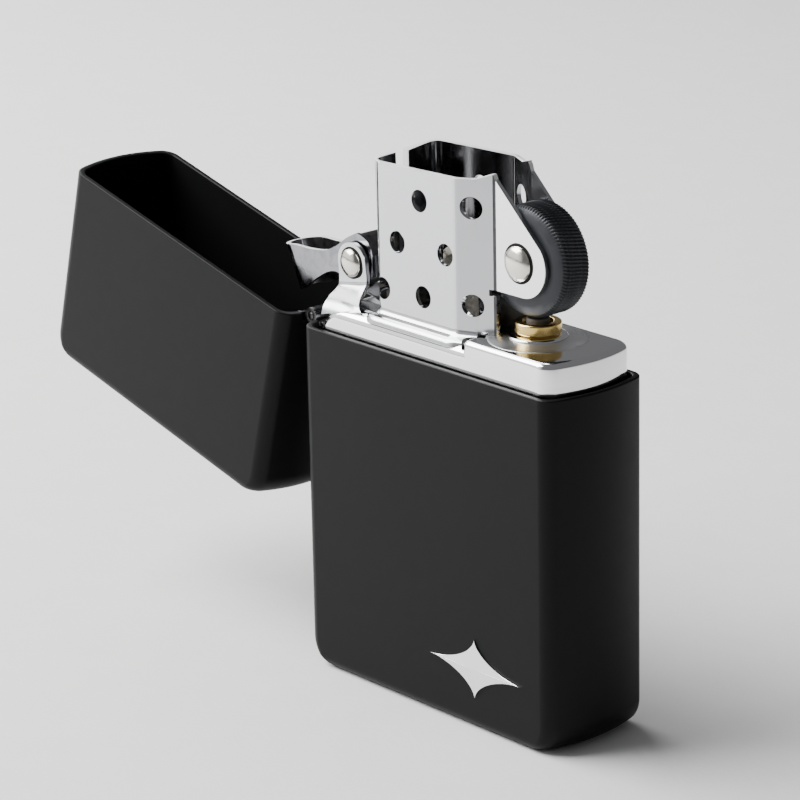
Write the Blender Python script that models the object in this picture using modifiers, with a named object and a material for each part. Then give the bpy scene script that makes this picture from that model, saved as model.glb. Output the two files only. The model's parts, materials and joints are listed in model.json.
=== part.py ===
"""A refillable flip-top lighter, shown open: case, sprung lid, pull-out insert, chimney, wheel and flint.

Metres, +Z up. The origin is the centre of the case's flat bottom. +X points to the wheel's side,
-Y is the face with the emblem, and the lid's hinge runs along Y at the -X end.
"""

import math

import bmesh
import bpy
from mathutils import Matrix, Vector

MM = 0.001

# Case and lid
CASE_LENGTH = 38.0 * MM
CASE_DEPTH = 13.0 * MM
CASE_HEIGHT = 36.3 * MM
LID_HEIGHT = 22.1 * MM
SHUT_LINE = 0.3 * MM
WALL = 0.6 * MM
END_BULGE = 1.2 * MM
UPRIGHT_EDGE_RADIUS = 1.2 * MM
LONG_EDGE_RADIUS = 1.25 * MM
CASE_CORNER_RADIUS = 3.0 * MM
LID_CORNER_RADIUS = 2.7 * MM

# Hinge
HINGE_X = -19.4 * MM
HINGE_Z = CASE_HEIGHT + SHUT_LINE / 2
LID_OPENING = math.radians(165.5)
KNUCKLE_RADIUS = 0.85 * MM
KNUCKLE_LENGTH = 1.5 * MM
KNUCKLE_GAP = 0.12 * MM
KNUCKLE_COUNT = 5
HINGE_PIN_RADIUS = 0.4 * MM
LEAF_THICKNESS = 0.35 * MM
LEAF_LENGTH = 7.6 * MM

# Insert
INSERT_LEFT = -17.75 * MM
INSERT_RIGHT = 18.1 * MM
INSERT_DEPTH = 11.3 * MM
INSERT_BOTTOM = 3.4 * MM
INSERT_TOP = 38.85 * MM
PLATEAU_LEFT = 5.2 * MM
INSERT_WALL = 0.5 * MM
INSERT_EDGE_RADIUS = 1.2 * MM
INSERT_HINGE_CORNER_RADIUS = 4.5 * MM

# Chimney, its foot and its ears
SHEET = 0.45 * MM
CHIMNEY_LEFT = -9.1 * MM
CHIMNEY_BEND_X = 2.85 * MM
CHIMNEY_THROAT_X = 6.85 * MM
CHIMNEY_HALF_DEPTH = 4.25 * MM
CHIMNEY_TOP = 54.9 * MM
CHIMNEY_TOP_RISE = 0.095
CHIMNEY_TAB_LEAN = -0.55 * MM
CHIMNEY_CORNER_RADIUS = 1.3 * MM
CHIMNEY_SLOT = (-1.2 * MM, 0.0)
FOOT_BOTTOM = 38.95 * MM
FOOT_TOP = 39.4 * MM
WIND_HOLE_RADIUS = 1.12 * MM

# Wheel and flint
WHEEL_X = 10.1 * MM
WHEEL_Z = 47.5 * MM
WHEEL_RADIUS = 5.55 * MM
WHEEL_WIDTH = 4.0 * MM
EAR_OUTSIDE = 2.55 * MM
FLINT_X = 10.0 * MM
FLINT_TUBE_RADIUS = 1.7 * MM
FLINT_TUBE_BORE = 1.3 * MM
FLINT_TUBE_TOP = 41.4 * MM
FLINT_TUBE_BOTTOM = 5.2 * MM
FLINT_RADIUS = 1.15 * MM
FLINT_TOP = 41.75 * MM
FLINT_LENGTH = 5.0 * MM

# Cam
CAM_X = -14.1 * MM
CAM_Z = 42.85 * MM
CAM_TIP_X = -25.63 * MM
CAM_LEAN = -0.46
CAM_LEAN_Z = 40.3 * MM
CAM_HEAD_RADIUS = 2.9 * MM
CAM_OUTSIDE = 2.2 * MM
CAM_EAR_OUTSIDE = 2.9 * MM
CAM_EAR_RADIUS = 2.1 * MM

# Wick and filling
WICK_X = -1.0 * MM
WICK_RADIUS = 1.9 * MM
WICK_TOP = 46.5 * MM

CIRCLE = 24


def clear_scene():
    for obj in list(bpy.data.objects):
        bpy.data.objects.remove(obj, do_unlink=True)
    parts = bpy.data.collections.new("lighter")
    helpers = bpy.data.collections.new("cutters")
    for collection in (parts, helpers):
        bpy.context.scene.collection.children.link(collection)
    return parts, helpers


PARTS, HELPERS = clear_scene()


def material(name, colour, roughness, metallic):
    made = bpy.data.materials.new(name)
    made.use_nodes = True
    shader = made.node_tree.nodes["Principled BSDF"]
    shader.inputs["Base Color"].default_value = (*colour, 1.0)
    shader.inputs["Roughness"].default_value = roughness
    shader.inputs["Metallic"].default_value = metallic
    made.diffuse_color = (*colour, 1.0)
    return made


MATT_BLACK = material("matt_black", (0.02, 0.02, 0.021), 0.5, 0.0)
CHROME = material("chrome", (0.78, 0.79, 0.8), 0.12, 1.0)
SPRING_STEEL = material("spring_steel", (0.5, 0.5, 0.49), 0.3, 1.0)
NICKEL = material("nickel", (0.66, 0.63, 0.57), 0.25, 1.0)
BRASS = material("brass", (0.72, 0.52, 0.2), 0.25, 1.0)
HARD_STEEL = material("black_hard_steel", (0.035, 0.035, 0.037), 0.5, 0.6)
FLINT_ALLOY = material("flint_alloy", (0.2, 0.19, 0.18), 0.6, 0.5)
COTTON = material("cotton", (0.85, 0.83, 0.78), 0.95, 0.0)
FELT = material("felt", (0.62, 0.6, 0.56), 0.95, 0.0)


# ---------------------------------------------------------------- building blocks


def mesh_object(name, mesh, finish=None, helper=False):
    """A new object from a mesh, in the parts' collection or, as a helper shape, among the cutters."""
    obj = bpy.data.objects.new(name, mesh)
    (HELPERS if helper else PARTS).objects.link(obj)
    if helper:
        obj.hide_render = True
        obj.display_type = "WIRE"
    else:
        mesh.materials.append(finish)
        mesh.shade_smooth()
        mesh.set_sharp_from_angle(angle=math.radians(32))
    return obj


def loft(name, rings, finish=None, helper=False, closed=False):
    """A solid through rings of points; capped at both ends, or joined end to start when closed."""
    bm = bmesh.new()
    rows = [[bm.verts.new(point) for point in ring] for ring in rings]
    pairs = list(zip(rows, rows[1:])) + ([(rows[-1], rows[0])] if closed else [])
    for lower, upper in pairs:
        for i in range(len(lower)):
            j = (i + 1) % len(lower)
            bm.faces.new((lower[i], lower[j], upper[j], upper[i]))
    if not closed:
        bm.faces.new(rows[0])
        bm.faces.new(rows[-1])
    bmesh.ops.recalc_face_normals(bm, faces=bm.faces)
    mesh = bpy.data.meshes.new(name)
    bm.to_mesh(mesh)
    bm.free()
    return mesh_object(name, mesh, finish, helper)


def cylinder(name, centre, radius, length, axis="Z", segments=CIRCLE, finish=None, helper=True):
    bm = bmesh.new()
    bmesh.ops.create_cone(bm, cap_ends=True, segments=segments, radius1=radius, radius2=radius, depth=length)
    if axis == "Y":
        bmesh.ops.rotate(bm, verts=bm.verts, matrix=Matrix.Rotation(math.pi / 2, 3, "X"))
    bmesh.ops.translate(bm, verts=bm.verts, vec=centre)
    mesh = bpy.data.meshes.new(name)
    bm.to_mesh(mesh)
    bm.free()
    return mesh_object(name, mesh, finish, helper)


def box(name, low, high, finish=None, helper=True):
    bm = bmesh.new()
    bmesh.ops.create_cube(bm, size=1.0)
    bmesh.ops.scale(bm, verts=bm.verts, vec=[b - a for a, b in zip(low, high)])
    bmesh.ops.translate(bm, verts=bm.verts, vec=[(a + b) / 2 for a, b in zip(low, high)])
    mesh = bpy.data.meshes.new(name)
    bm.to_mesh(mesh)
    bm.free()
    return mesh_object(name, mesh, finish, helper)


def turned(name, profile, finish, steps=CIRCLE, closed=False):
    """A turned solid about Z. The profile runs down its outer side; a closed one leaves a bore."""
    mesh = bpy.data.meshes.new(name)
    edges = [(i, i + 1) for i in range(len(profile) - 1)]
    if closed:
        edges.append((len(profile) - 1, 0))
    mesh.from_pydata([(r, 0.0, z) for r, z in profile], edges, [])
    obj = bpy.data.objects.new(name, mesh)
    PARTS.objects.link(obj)
    mesh.materials.append(finish)
    screw = obj.modifiers.new("turn", "SCREW")
    screw.steps = steps
    screw.render_steps = steps
    screw.use_merge_vertices = True
    screw.merge_threshold = 1e-6
    screw.use_smooth_shade = True
    return obj


def prism(name, outline, low, high, axis="Y", finish=None, helper=True):
    """A flat outline in (x, z), or (x, y) for axis Z, pushed from low to high along the axis."""
    if axis == "Y":
        rings = [[(x, level, z) for x, z in outline] for level in (low, high)]
    else:
        rings = [[(x, y, level) for x, y in outline] for level in (low, high)]
    return loft(name, rings, finish, helper)


def join(target, *others):
    combine(target, others, "UNION")


def cut(target, *others):
    combine(target, others, "DIFFERENCE")


def combine(target, others, operation):
    for other in others:
        modifier = target.modifiers.new(other.name, "BOOLEAN")
        modifier.operation = operation
        modifier.object = other


def pivot(name, x, z, angle=0.0):
    """An empty on a joint's axis. A positive angle turns what hangs on it from +X up towards +Z."""
    empty = bpy.data.objects.new(name, None)
    PARTS.objects.link(empty)
    empty.empty_display_size = 3 * MM
    empty.location = (x, 0.0, z)
    empty.rotation_euler.y = -angle
    return empty


def hang(empty, *objects):
    """Moves each object's origin to the pivot, with its shape kept where it was built."""
    for obj in objects:
        obj.data.transform(Matrix.Translation(-Vector(empty.location)))
        obj.parent = empty


def arc(x, z, radius, start, end, steps):
    """Points on an arc, with its angles in degrees counted from +X towards the second axis."""
    angles = [math.radians(start + (end - start) * i / steps) for i in range(steps + 1)]
    return [(x + radius * math.cos(a), z + radius * math.sin(a)) for a in angles]


# ---------------------------------------------------------------- the shell's cross-section


def bowed_outline(left, right, half_depth, edge_radius, z):
    """The shell's level section: flat front and back, and ends that bow outwards between round edges."""
    flat = half_depth - edge_radius
    corner = [math.radians(a) for a in (90, 67.5, 45, 22.5)]
    rows = [(flat + edge_radius * math.sin(a), edge_radius * (1 - math.cos(a))) for a in corner]
    rows += [(flat * (1 - i / 3), 0.0) for i in range(3)]
    rows += [(0.0, 0.0)]
    rows += [(-y, inset) for y, inset in reversed(rows[:-1])]
    end = [(y, inset + END_BULGE * (y / half_depth) ** 2) for y, inset in rows]
    right_end = [(right - inset, y, z) for y, inset in reversed(end)]
    left_end = [(left + inset, y, z) for y, inset in end]
    return right_end + left_end


def rounding(radius, height):
    """How far a quarter-round edge stands in from its side at this height above its start."""
    short = max(radius - height, 0.0)
    return radius - math.sqrt(max(radius**2 - short**2, 0.0))


def shell_levels(long_radius, corner_radius):
    """Heights at which an edge that starts at 0 needs a section."""
    steps = [long_radius * (1 - math.cos(math.radians(a))) for a in (0, 10, 25, 45, 67, 90)]
    return steps + [long_radius + (corner_radius - long_radius) * f for f in (0.35, 0.7, 1.0)]


def shell_rings(half_length, half_depth, edge_radius, long_radius, corner_radius, base, direction):
    """Sections of a rounded box's closed end, from its flat (at base) on in the direction of +-Z."""
    rings = []
    for height in shell_levels(long_radius, corner_radius):
        reach = half_length - rounding(corner_radius, height)
        depth = half_depth - rounding(long_radius, height)
        rings.append(bowed_outline(-reach, reach, depth, edge_radius, base + direction * height))
    return rings


def cup(name, base, rim, direction, corner_radius, finish):
    """The case or lid: a drawn cup of even wall, closed at base and open at rim."""
    half_length, half_depth = CASE_LENGTH / 2, CASE_DEPTH / 2
    outer = shell_rings(
        half_length, half_depth, UPRIGHT_EDGE_RADIUS, LONG_EDGE_RADIUS, corner_radius, base, direction
    )
    outer.append(bowed_outline(-half_length, half_length, half_depth, UPRIGHT_EDGE_RADIUS, rim))
    inner = shell_rings(
        half_length - WALL,
        half_depth - WALL,
        UPRIGHT_EDGE_RADIUS - WALL / 2,
        LONG_EDGE_RADIUS - WALL / 2,
        corner_radius - WALL,
        base + direction * WALL,
        direction,
    )
    inner.append(
        bowed_outline(
            WALL - half_length, half_length - WALL, half_depth - WALL, UPRIGHT_EDGE_RADIUS - WALL / 2, rim
        )
    )
    return loft(name, outer + inner[::-1], finish)


# ---------------------------------------------------------------- case, lid and hinge

HINGE_SPAN = KNUCKLE_COUNT * KNUCKLE_LENGTH + (KNUCKLE_COUNT - 1) * KNUCKLE_GAP
NOTCH_HALF = HINGE_SPAN / 2 + 0.25 * MM
NOTCH_REACH = KNUCKLE_RADIUS + 0.3 * MM


def hinge_notch(name, towards):
    """The window in an end wall that the knuckles sit in, below (-1) or above (+1) the axis."""
    far = HINGE_Z + towards * NOTCH_REACH
    past = HINGE_Z - towards * 2 * MM
    low = (HINGE_X - 3 * MM, -NOTCH_HALF, min(far, past))
    high = (HINGE_X + 3 * MM, NOTCH_HALF, max(far, past))
    return box(name, low, high)


def leaf_x(y):
    """Where the middle of a hinge leaf stands, against the bowed end wall."""
    inside = CASE_LENGTH / 2 - WALL
    depth = CASE_DEPTH / 2 - WALL
    return -(inside - 0.1 * MM - LEAF_THICKNESS / 2 - END_BULGE * (y / depth) ** 2)


def hinge_leaf(name, towards, knuckles, finish):
    """A bowed leaf against the end wall with its knuckles: towards is -1 on the case, +1 on the lid."""
    near = HINGE_Z + towards * 0.4 * MM
    far = HINGE_Z + towards * LEAF_LENGTH
    half = HINGE_SPAN / 2
    rings = []
    for i in range(9):
        y = -half + 2 * half * i / 8
        x = leaf_x(y)
        outside, inside = x - LEAF_THICKNESS / 2, x + LEAF_THICKNESS / 2
        rings.append([(outside, y, near), (inside, y, near), (inside, y, far), (outside, y, far)])
    leaf = loft(name, rings, finish)
    web_half = KNUCKLE_LENGTH / 2 - 0.06 * MM
    for number in knuckles:
        y = -half + KNUCKLE_LENGTH / 2 + number * (KNUCKLE_LENGTH + KNUCKLE_GAP)
        barrel = cylinder(
            f"{name}_barrel_{number}", (HINGE_X, y, HINGE_Z), KNUCKLE_RADIUS, KNUCKLE_LENGTH, "Y", 20
        )
        levels = sorted((HINGE_Z + towards * 0.35 * MM, HINGE_Z + towards * 0.78 * MM))
        web = box(
            f"{name}_web_{number}",
            (HINGE_X, y - web_half, levels[0]),
            (leaf_x(y), y + web_half, levels[1]),
        )
        join(leaf, barrel, web)
    bore = cylinder(
        f"{name}_bore", (HINGE_X, 0.0, HINGE_Z), HINGE_PIN_RADIUS + 0.06 * MM, 2 * HINGE_SPAN, "Y", 20
    )
    cut(leaf, bore)
    return leaf


def case_and_lid():
    case = cup("case_body", 0.0, CASE_HEIGHT, 1, CASE_CORNER_RADIUS, MATT_BLACK)
    cut(case, hinge_notch("case_hinge_notch", -1))
    hinge_leaf("case_hinge_leaf", -1, (0, 2, 4), SPRING_STEEL)
    cylinder(
        "hinge_pin",
        (HINGE_X, 0.0, HINGE_Z),
        HINGE_PIN_RADIUS,
        HINGE_SPAN,
        "Y",
        16,
        SPRING_STEEL,
        helper=False,
    )
    rim = CASE_HEIGHT + SHUT_LINE
    lid = cup("lid_shell", rim + LID_HEIGHT, rim, -1, LID_CORNER_RADIUS, MATT_BLACK)
    notch = hinge_notch("lid_hinge_notch", 1)
    cut(lid, notch)
    leaf = hinge_leaf("lid_hinge_leaf", 1, (1, 3), SPRING_STEEL)
    opened = pivot("lid_pivot", HINGE_X, HINGE_Z, LID_OPENING)
    leaf_shapes = [m.object for m in leaf.modifiers]
    hang(opened, lid, notch, leaf, *leaf_shapes)


def emblem():
    """A raised four-pointed spark on the front."""
    reach, rise, power = 6.6 * MM, 3.1 * MM, 3.2
    points = []
    for i in range(64):
        angle = 2 * math.pi * (i + 0.5) / 64
        c, s = math.cos(angle), math.sin(angle)
        points.append(
            (
                7.5 * MM + reach * math.copysign(abs(c) ** power, c),
                6.5 * MM + rise * math.copysign(abs(s) ** power, s),
            )
        )
    face = -CASE_DEPTH / 2
    prism("emblem", points, face - 0.3 * MM, face - 0.05 * MM, "Y", CHROME, helper=False)


# ---------------------------------------------------------------- insert


def insert_outline(left, right, half_depth, z):
    edge = min(UPRIGHT_EDGE_RADIUS, half_depth / 2)
    return bowed_outline(left, right, half_depth, edge, z)


def plateau():
    """The raised end of the can's top, notched round the windguard's throat."""
    rings = []
    for inset, z in ((0.3, 38.0), (0.05, 38.1), (0.05, 38.95), (0.2, 39.35), (0.6, 39.55)):
        inset, z = inset * MM, z * MM
        half = INSERT_DEPTH / 2 - inset
        outline = insert_outline(PLATEAU_LEFT + inset, INSERT_RIGHT - inset, half, z)
        right_end = outline[: len(outline) // 2]
        left = PLATEAU_LEFT + inset
        lobe = [(left + 0.5 * MM, half), (left, half - 0.5 * MM), (left, 4.45 * MM - inset / 2)]
        lobe += [(6.1 * MM + inset, 3.75 * MM - inset / 2), (7.15 * MM + inset, 3.0 * MM)]
        left_end = [(x, y, z) for x, y in lobe] + [(x, -y, z) for x, y in reversed(lobe)]
        rings.append(right_end + left_end)
    return loft("plateau", rings, helper=True)


def insert_can():
    """The drawn can: open below, with a raised end, a boss round the flint tube and a hole for the wick."""
    half = INSERT_DEPTH / 2
    outer = [insert_outline(INSERT_LEFT, INSERT_RIGHT, half, INSERT_BOTTOM)]
    drops = (4.5, 3.6, 2.7, 1.9, 1.2, 0.8, 0.45, 0.2, 0.06, 0.0)
    for drop in [d * MM for d in drops]:
        outer.append(
            insert_outline(
                INSERT_LEFT + rounding(INSERT_HINGE_CORNER_RADIUS, drop),
                INSERT_RIGHT - rounding(INSERT_EDGE_RADIUS, drop),
                half - rounding(INSERT_EDGE_RADIUS, drop),
                INSERT_TOP - drop,
            )
        )
    wall = INSERT_WALL
    inner = []
    for drop in [d * MM for d in (0.0, 0.1, 0.3, 0.7, 1.4, 2.6, 4.0)]:
        inner.append(
            insert_outline(
                INSERT_LEFT + wall + rounding(INSERT_HINGE_CORNER_RADIUS - wall, drop),
                INSERT_RIGHT - wall - rounding(INSERT_EDGE_RADIUS - wall, drop),
                half - wall - rounding(INSERT_EDGE_RADIUS - wall, drop),
                INSERT_TOP - wall - drop,
            )
        )
    inner.append(insert_outline(INSERT_LEFT + wall, INSERT_RIGHT - wall, half - wall, INSERT_BOTTOM))
    can = loft("insert_can", outer[::-1] + inner[::-1], CHROME)
    join(can, plateau())
    for number, (radius, top) in enumerate(((3.2 * MM, 39.75 * MM), (2.8 * MM, 40.1 * MM))):
        bottom = INSERT_TOP - 0.2 * MM
        step = cylinder(
            f"boss_step_{number}", (FLINT_X, 0.0, (top + bottom) / 2), radius, top - bottom, segments=32
        )
        join(can, step)
    cut(
        can,
        cylinder("tube_hole", (FLINT_X, 0.0, INSERT_TOP), FLINT_TUBE_RADIUS + 0.1 * MM, 4 * MM),
        cylinder("wick_hole", (WICK_X, 0.0, INSERT_TOP), WICK_RADIUS + 0.2 * MM, 4 * MM),
    )


def upright(x, y, z):
    return x, y, z


def ribbon(name, path, bottom, top, thickness, finish=None, helper=True, bend=upright):
    """Upright sheet along a level path. bottom and top are functions of (x, y); bend moves each corner."""
    half = thickness / 2
    rings = []
    for i, (x, y) in enumerate(path):
        before = Vector(path[i]) - Vector(path[max(i - 1, 0)])
        after = Vector(path[min(i + 1, len(path) - 1)]) - Vector(path[i])
        before, after = (before or after).normalized(), (after or before).normalized()
        along = (before + after).normalized()
        spread = half / max(along.dot(before), 0.5)
        side = Vector((-along.y, along.x)) * spread
        a, b = (x + side.x, y + side.y), (x - side.x, y - side.y)
        ring = [(*a, bottom(*a)), (*b, bottom(*b)), (*b, top(*b)), (*a, top(*a))]
        rings.append([bend(*corner) for corner in ring])
    return loft(name, rings, finish, helper)


def chimney_side(side):
    """The path of the front (-1) or back (+1) wall's middle, from the end slot to the wheel's ear."""
    inset = SHEET / 2
    left = CHIMNEY_LEFT + inset
    deep = CHIMNEY_HALF_DEPTH - inset
    ear = EAR_OUTSIDE - inset
    radius = CHIMNEY_CORNER_RADIUS - inset
    slot_edge = CHIMNEY_SLOT[0] if side < 0 else CHIMNEY_SLOT[1]
    path = [(left, slot_edge)]
    path += [(x, side * y) for x, y in arc(left + radius, deep - radius, radius, 180, 90, 5)]
    bend = Vector((CHIMNEY_BEND_X, deep))
    throat = Vector((CHIMNEY_THROAT_X - 0.15 * MM, ear + 0.12 * MM))
    slant = [bend.lerp(throat, share) for share in (0.0, 0.45, 0.6, 0.75, 0.9, 1.0)]
    path += [(point.x, side * point.y) for point in slant]
    path += [(CHIMNEY_THROAT_X + 0.35 * MM, side * ear)]
    path += [(14.2 * MM, side * ear)]
    return path


def ramp(value, start, end):
    """A smooth step from 0 at start to 1 at end."""
    share = min(max((value - start) / (end - start), 0.0), 1.0)
    return share * share * (3 - 2 * share)


def chimney_top(x, y):
    """The wall's top edge: it climbs a little towards the wheel and ends in a tip at the throat."""
    climb = 0.35 * MM * min(max((x + 9.0 * MM) / (11.5 * MM), 0.0), 1.0)
    return CHIMNEY_TOP + CHIMNEY_TOP_RISE * y + climb + 0.6 * MM * ramp(x, 4.6 * MM, 6.6 * MM)


def lean_tab(x, y, z):
    """The end tab beside the slot stands out a little at its top."""
    share = (z - FOOT_BOTTOM) / (CHIMNEY_TOP - FOOT_BOTTOM) if x < -7 * MM else 0.0
    return x + CHIMNEY_TAB_LEAN * share * ramp(y, -4.2 * MM, -3.4 * MM), y, z


def foot_outline():
    """The foot's outer edge over the insert's top, with round corners."""
    left, right, deep, radius = -15.2 * MM, 5.3 * MM, 4.75 * MM, 1.2 * MM
    corners = (
        (right - radius, deep - radius, 0),
        (left + radius, deep - radius, 90),
        (left + radius, radius - deep, 180),
        (right - radius, radius - deep, 270),
    )
    points = []
    for x, y, start in corners:
        points += arc(x, y, radius, start, start + 90, 4)
    return points


def ear_trim(name):
    """What is cut from a wall past the throat, so that a rounded triangular ear is left."""
    ear = [(6.75 * MM, 60 * MM), (6.75 * MM, 55.8 * MM), (6.95 * MM, 55.5 * MM)]
    ear += arc(FLINT_X + 0.55 * MM, 47.4 * MM, 3.2 * MM, 38, -90, 9)
    ear += [(6.2 * MM, 44.2 * MM), (6.2 * MM, 43.6 * MM), (16 * MM, 43.6 * MM), (16 * MM, 60 * MM)]
    return prism(name, ear, -6 * MM, 6 * MM)


def chimney():
    """The windguard, one pressed sheet: foot, pierced walls, and ears for the wheel and the cam."""
    foot = prism("chimney", foot_outline(), FOOT_BOTTOM, FOOT_TOP, "Z", CHROME, helper=False)
    base = FOOT_BOTTOM + 0.1 * MM
    for side, name in ((-1, "front"), (1, "back")):
        wall = ribbon(
            f"chimney_{name}_wall",
            chimney_side(side),
            lambda x, y: base,
            chimney_top,
            SHEET,
            bend=lean_tab if side < 0 else upright,
        )
        cut(
            wall,
            ear_trim(f"{name}_ear_trim"),
            box(f"{name}_under_ear", (6.95 * MM, -6 * MM, 38 * MM), (20 * MM, 6 * MM, 44.2 * MM)),
        )
        join(foot, wall)
        join(foot, cam_ear(f"{name}_cam_ear", side), skirt(f"{name}_skirt", side))
    bridge = box("throat_bridge", (6.2 * MM, -2.6 * MM, FOOT_BOTTOM), (6.62 * MM, 2.6 * MM, 43.2 * MM))
    tongue = box("bridge_foot", (4.5 * MM, -2.5 * MM, FOOT_BOTTOM + 0.02 * MM), (6.5 * MM, 2.5 * MM, 39.35 * MM))
    join(foot, bridge, tongue)
    window = box("cam_window", (-18 * MM, -2.45 * MM, 38 * MM), (-9.35 * MM, 2.45 * MM, 41 * MM))
    throat = prism(
        "chimney_well",
        [(-8.6 * MM, -3.7 * MM), (2.7 * MM, -3.7 * MM), (4.9 * MM, -2.8 * MM)]
        + [(4.9 * MM, 2.8 * MM), (2.7 * MM, 3.7 * MM), (-8.6 * MM, 3.7 * MM)],
        38 * MM,
        40.5 * MM,
        "Z",
    )
    slot = box(
        "end_slot",
        (CHIMNEY_LEFT - 1 * MM, CHIMNEY_SLOT[0], FOOT_TOP + 0.6 * MM),
        (CHIMNEY_LEFT + 1 * MM, CHIMNEY_SLOT[1], 60 * MM),
    )
    cut(foot, window, throat, slot)
    cut(foot, *wind_holes())
    cut(
        foot,
        cylinder("axle_holes", (WHEEL_X, 0.0, WHEEL_Z), 0.98 * MM, 8 * MM, "Y", 20),
        cylinder("cam_pin_holes", (CAM_X, 0.0, CAM_Z), 0.83 * MM, 8 * MM, "Y", 20),
    )


def cam_ear(name, side):
    outline = arc(CAM_X, CAM_Z, CAM_EAR_RADIUS, 0, 180, 10)
    outline += [(CAM_X - CAM_EAR_RADIUS, 39.1 * MM), (CAM_X + CAM_EAR_RADIUS, 39.1 * MM)]
    levels = sorted((side * CAM_EAR_OUTSIDE, side * (CAM_EAR_OUTSIDE - SHEET)))
    return prism(name, outline, levels[0], levels[1])


def skirt(name, side):
    """The flared foot of a cam ear, from its fold down to the insert's shoulder."""
    near_y = CAM_EAR_OUTSIDE / MM - 0.25
    half = CAM_EAR_RADIUS / MM - 0.05
    left, middle, right = CAM_X / MM - half, CAM_X / MM, CAM_X / MM + half
    columns = (
        ((left, near_y, 39.7), (left, near_y, 40.2), (-15.7, 5.4, 38.15), (-15.7, 5.4, 37.9)),
        ((middle, near_y, 40.0), (middle, near_y, 40.65), (-14.0, 5.35, 38.8), (-14.0, 5.35, 38.5)),
        ((right, near_y, 40.3), (right, near_y, 41.1), (-9.9, 5.1, 39.15), (-9.9, 5.1, 38.8)),
    )
    rings = [[(x * MM, side * y * MM, z * MM) for x, y, z in ring] for ring in columns]
    return loft(name, rings, helper=True)


def wind_holes():
    """Seven holes in each side: three rows, the last of each short row in the slanted wall."""
    straight = ((-2.15, 51.7), (-5.5, 46.95), (1.5, 47.0), (-1.8, 42.1), (-7.8, 41.8))
    slanted = ((4.55, 52.1), (4.6, 42.4))
    holes = []
    for number, (x, z) in enumerate(straight + slanted):
        holes.append(
            cylinder(f"wind_hole_{number}", (x * MM, 0.0, z * MM), WIND_HOLE_RADIUS, 20 * MM, "Y", 16)
        )
    return holes


def rivet(name, x, z, shank, outside, head, finish):
    """A pin through two ears with a domed head on each side, its axis along Y."""
    seat = outside + 0.1 * MM
    rise = 0.42 * head
    profile = [(0.0, seat + rise)]
    profile += [(head * math.sin(math.radians(a)), seat + rise * math.cos(math.radians(a))) for a in (30, 60, 90)]
    profile += [(shank, seat), (shank, -seat)]
    profile += [(head * math.sin(math.radians(a)), -seat - rise * math.cos(math.radians(a))) for a in (90, 60, 30)]
    profile += [(0.0, -seat - rise)]
    pin = turned(name, profile, finish, 20)
    pin.rotation_euler.x = math.pi / 2
    pin.location = (x, 0.0, z)
    return pin


def lean_bow(x, y, z):
    """The lever's bow leans out at its top; its cheeks stand upright towards the pin."""
    return x + CAM_LEAN * (z - CAM_LEAN_Z) * (1 - ramp(x, -23.4 * MM, -17.5 * MM)), y, z


def cam_lever():
    """The sprung lever that snaps the lid: a hairpin of sheet, with a head round its pin."""
    tip_radius = CAM_OUTSIDE - SHEET / 2
    bow = CAM_TIP_X + CAM_OUTSIDE
    y = CAM_OUTSIDE - SHEET / 2
    path = [(CAM_X + CAM_HEAD_RADIUS - SHEET / 2, -y)]
    path += [(x, -y) for x in (CAM_X + 1.2 * MM, CAM_X - 1.2 * MM, -17.5 * MM, -20 * MM, -21.5 * MM)]
    path += arc(bow, 0.0, tip_radius, 270, 90, 10)
    path += [(x, y) for x in (-21.5 * MM, -20 * MM, -17.5 * MM, CAM_X - 1.2 * MM, CAM_X + 1.2 * MM)]
    path += [(CAM_X + CAM_HEAD_RADIUS - SHEET / 2, y)]
    blank = ribbon(
        "cam_lever",
        path,
        lambda x, y: 36 * MM,
        lambda x, y: 48 * MM,
        SHEET,
        SPRING_STEEL,
        helper=False,
        bend=lean_bow,
    )
    web = arc(CAM_X, CAM_Z, CAM_HEAD_RADIUS, -38, 86, 8)
    web += arc(CAM_X, CAM_Z, CAM_HEAD_RADIUS - SHEET, 86, -38, 8)
    join(blank, prism("cam_web", web, -y, y))
    side = arc(CAM_X, CAM_Z, CAM_HEAD_RADIUS, -132, 92, 12)
    edge = [(-15.6, 45.05), (-16.5, 44.4), (-17.5, 43.75), (-19.2, 43.05), (-21.7, 42.75), (-24.0, 42.7)]
    edge += [(-27.4, 42.15), (-27.4, 38.0), (-24.2, 38.0), (-22.8, 38.25), (-21.4, 39.2), (-20.1, 40.1)]
    edge += [(-18.6, 40.9), (-17.3, 41.15)]
    side += [(x * MM, z * MM) for x, z in edge]
    keep = prism("cam_side", side, -4 * MM, 4 * MM)
    modifier = blank.modifiers.new("cam_side", "BOOLEAN")
    modifier.operation = "INTERSECT"
    modifier.object = keep
    bore = cylinder("cam_bore", (CAM_X, 0.0, CAM_Z), 0.83 * MM, 8 * MM, "Y", 20)
    cut(blank, bore)
    turns = pivot("cam_pivot", CAM_X, CAM_Z)
    hang(turns, blank, *[m.object for m in blank.modifiers])


def cam_spring():
    """The leaf spring that lies under the cam's head, and the rivet that holds it."""
    path = ((-9.7, 39.15), (-11.1, 39.15), (-12.3, 39.4), (-13.5, 39.62), (-15.0, 39.66), (-16.6, 39.55))
    half = 0.12 * MM
    rings = []
    for x, z in path:
        x, z = x * MM, z * MM
        rings.append(
            [(x, -1.5 * MM, z - half), (x, 1.5 * MM, z - half), (x, 1.5 * MM, z + half), (x, -1.5 * MM, z + half)]
        )
    spring = loft("cam_spring", rings, SPRING_STEEL)
    hole_x = -10.45 * MM
    cut(spring, cylinder("spring_rivet_hole", (hole_x, 0.0, 39.15 * MM), 0.5 * MM, 2 * MM, segments=16))
    profile = [(0.0, 39.8), (0.5, 39.73), (0.85, 39.37), (0.4, 39.37), (0.4, 38.95), (0.0, 38.95)]
    pin = turned("cam_spring_rivet", [(r * MM, z * MM) for r, z in profile], NICKEL, 16)
    pin.location.x = hole_x


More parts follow.
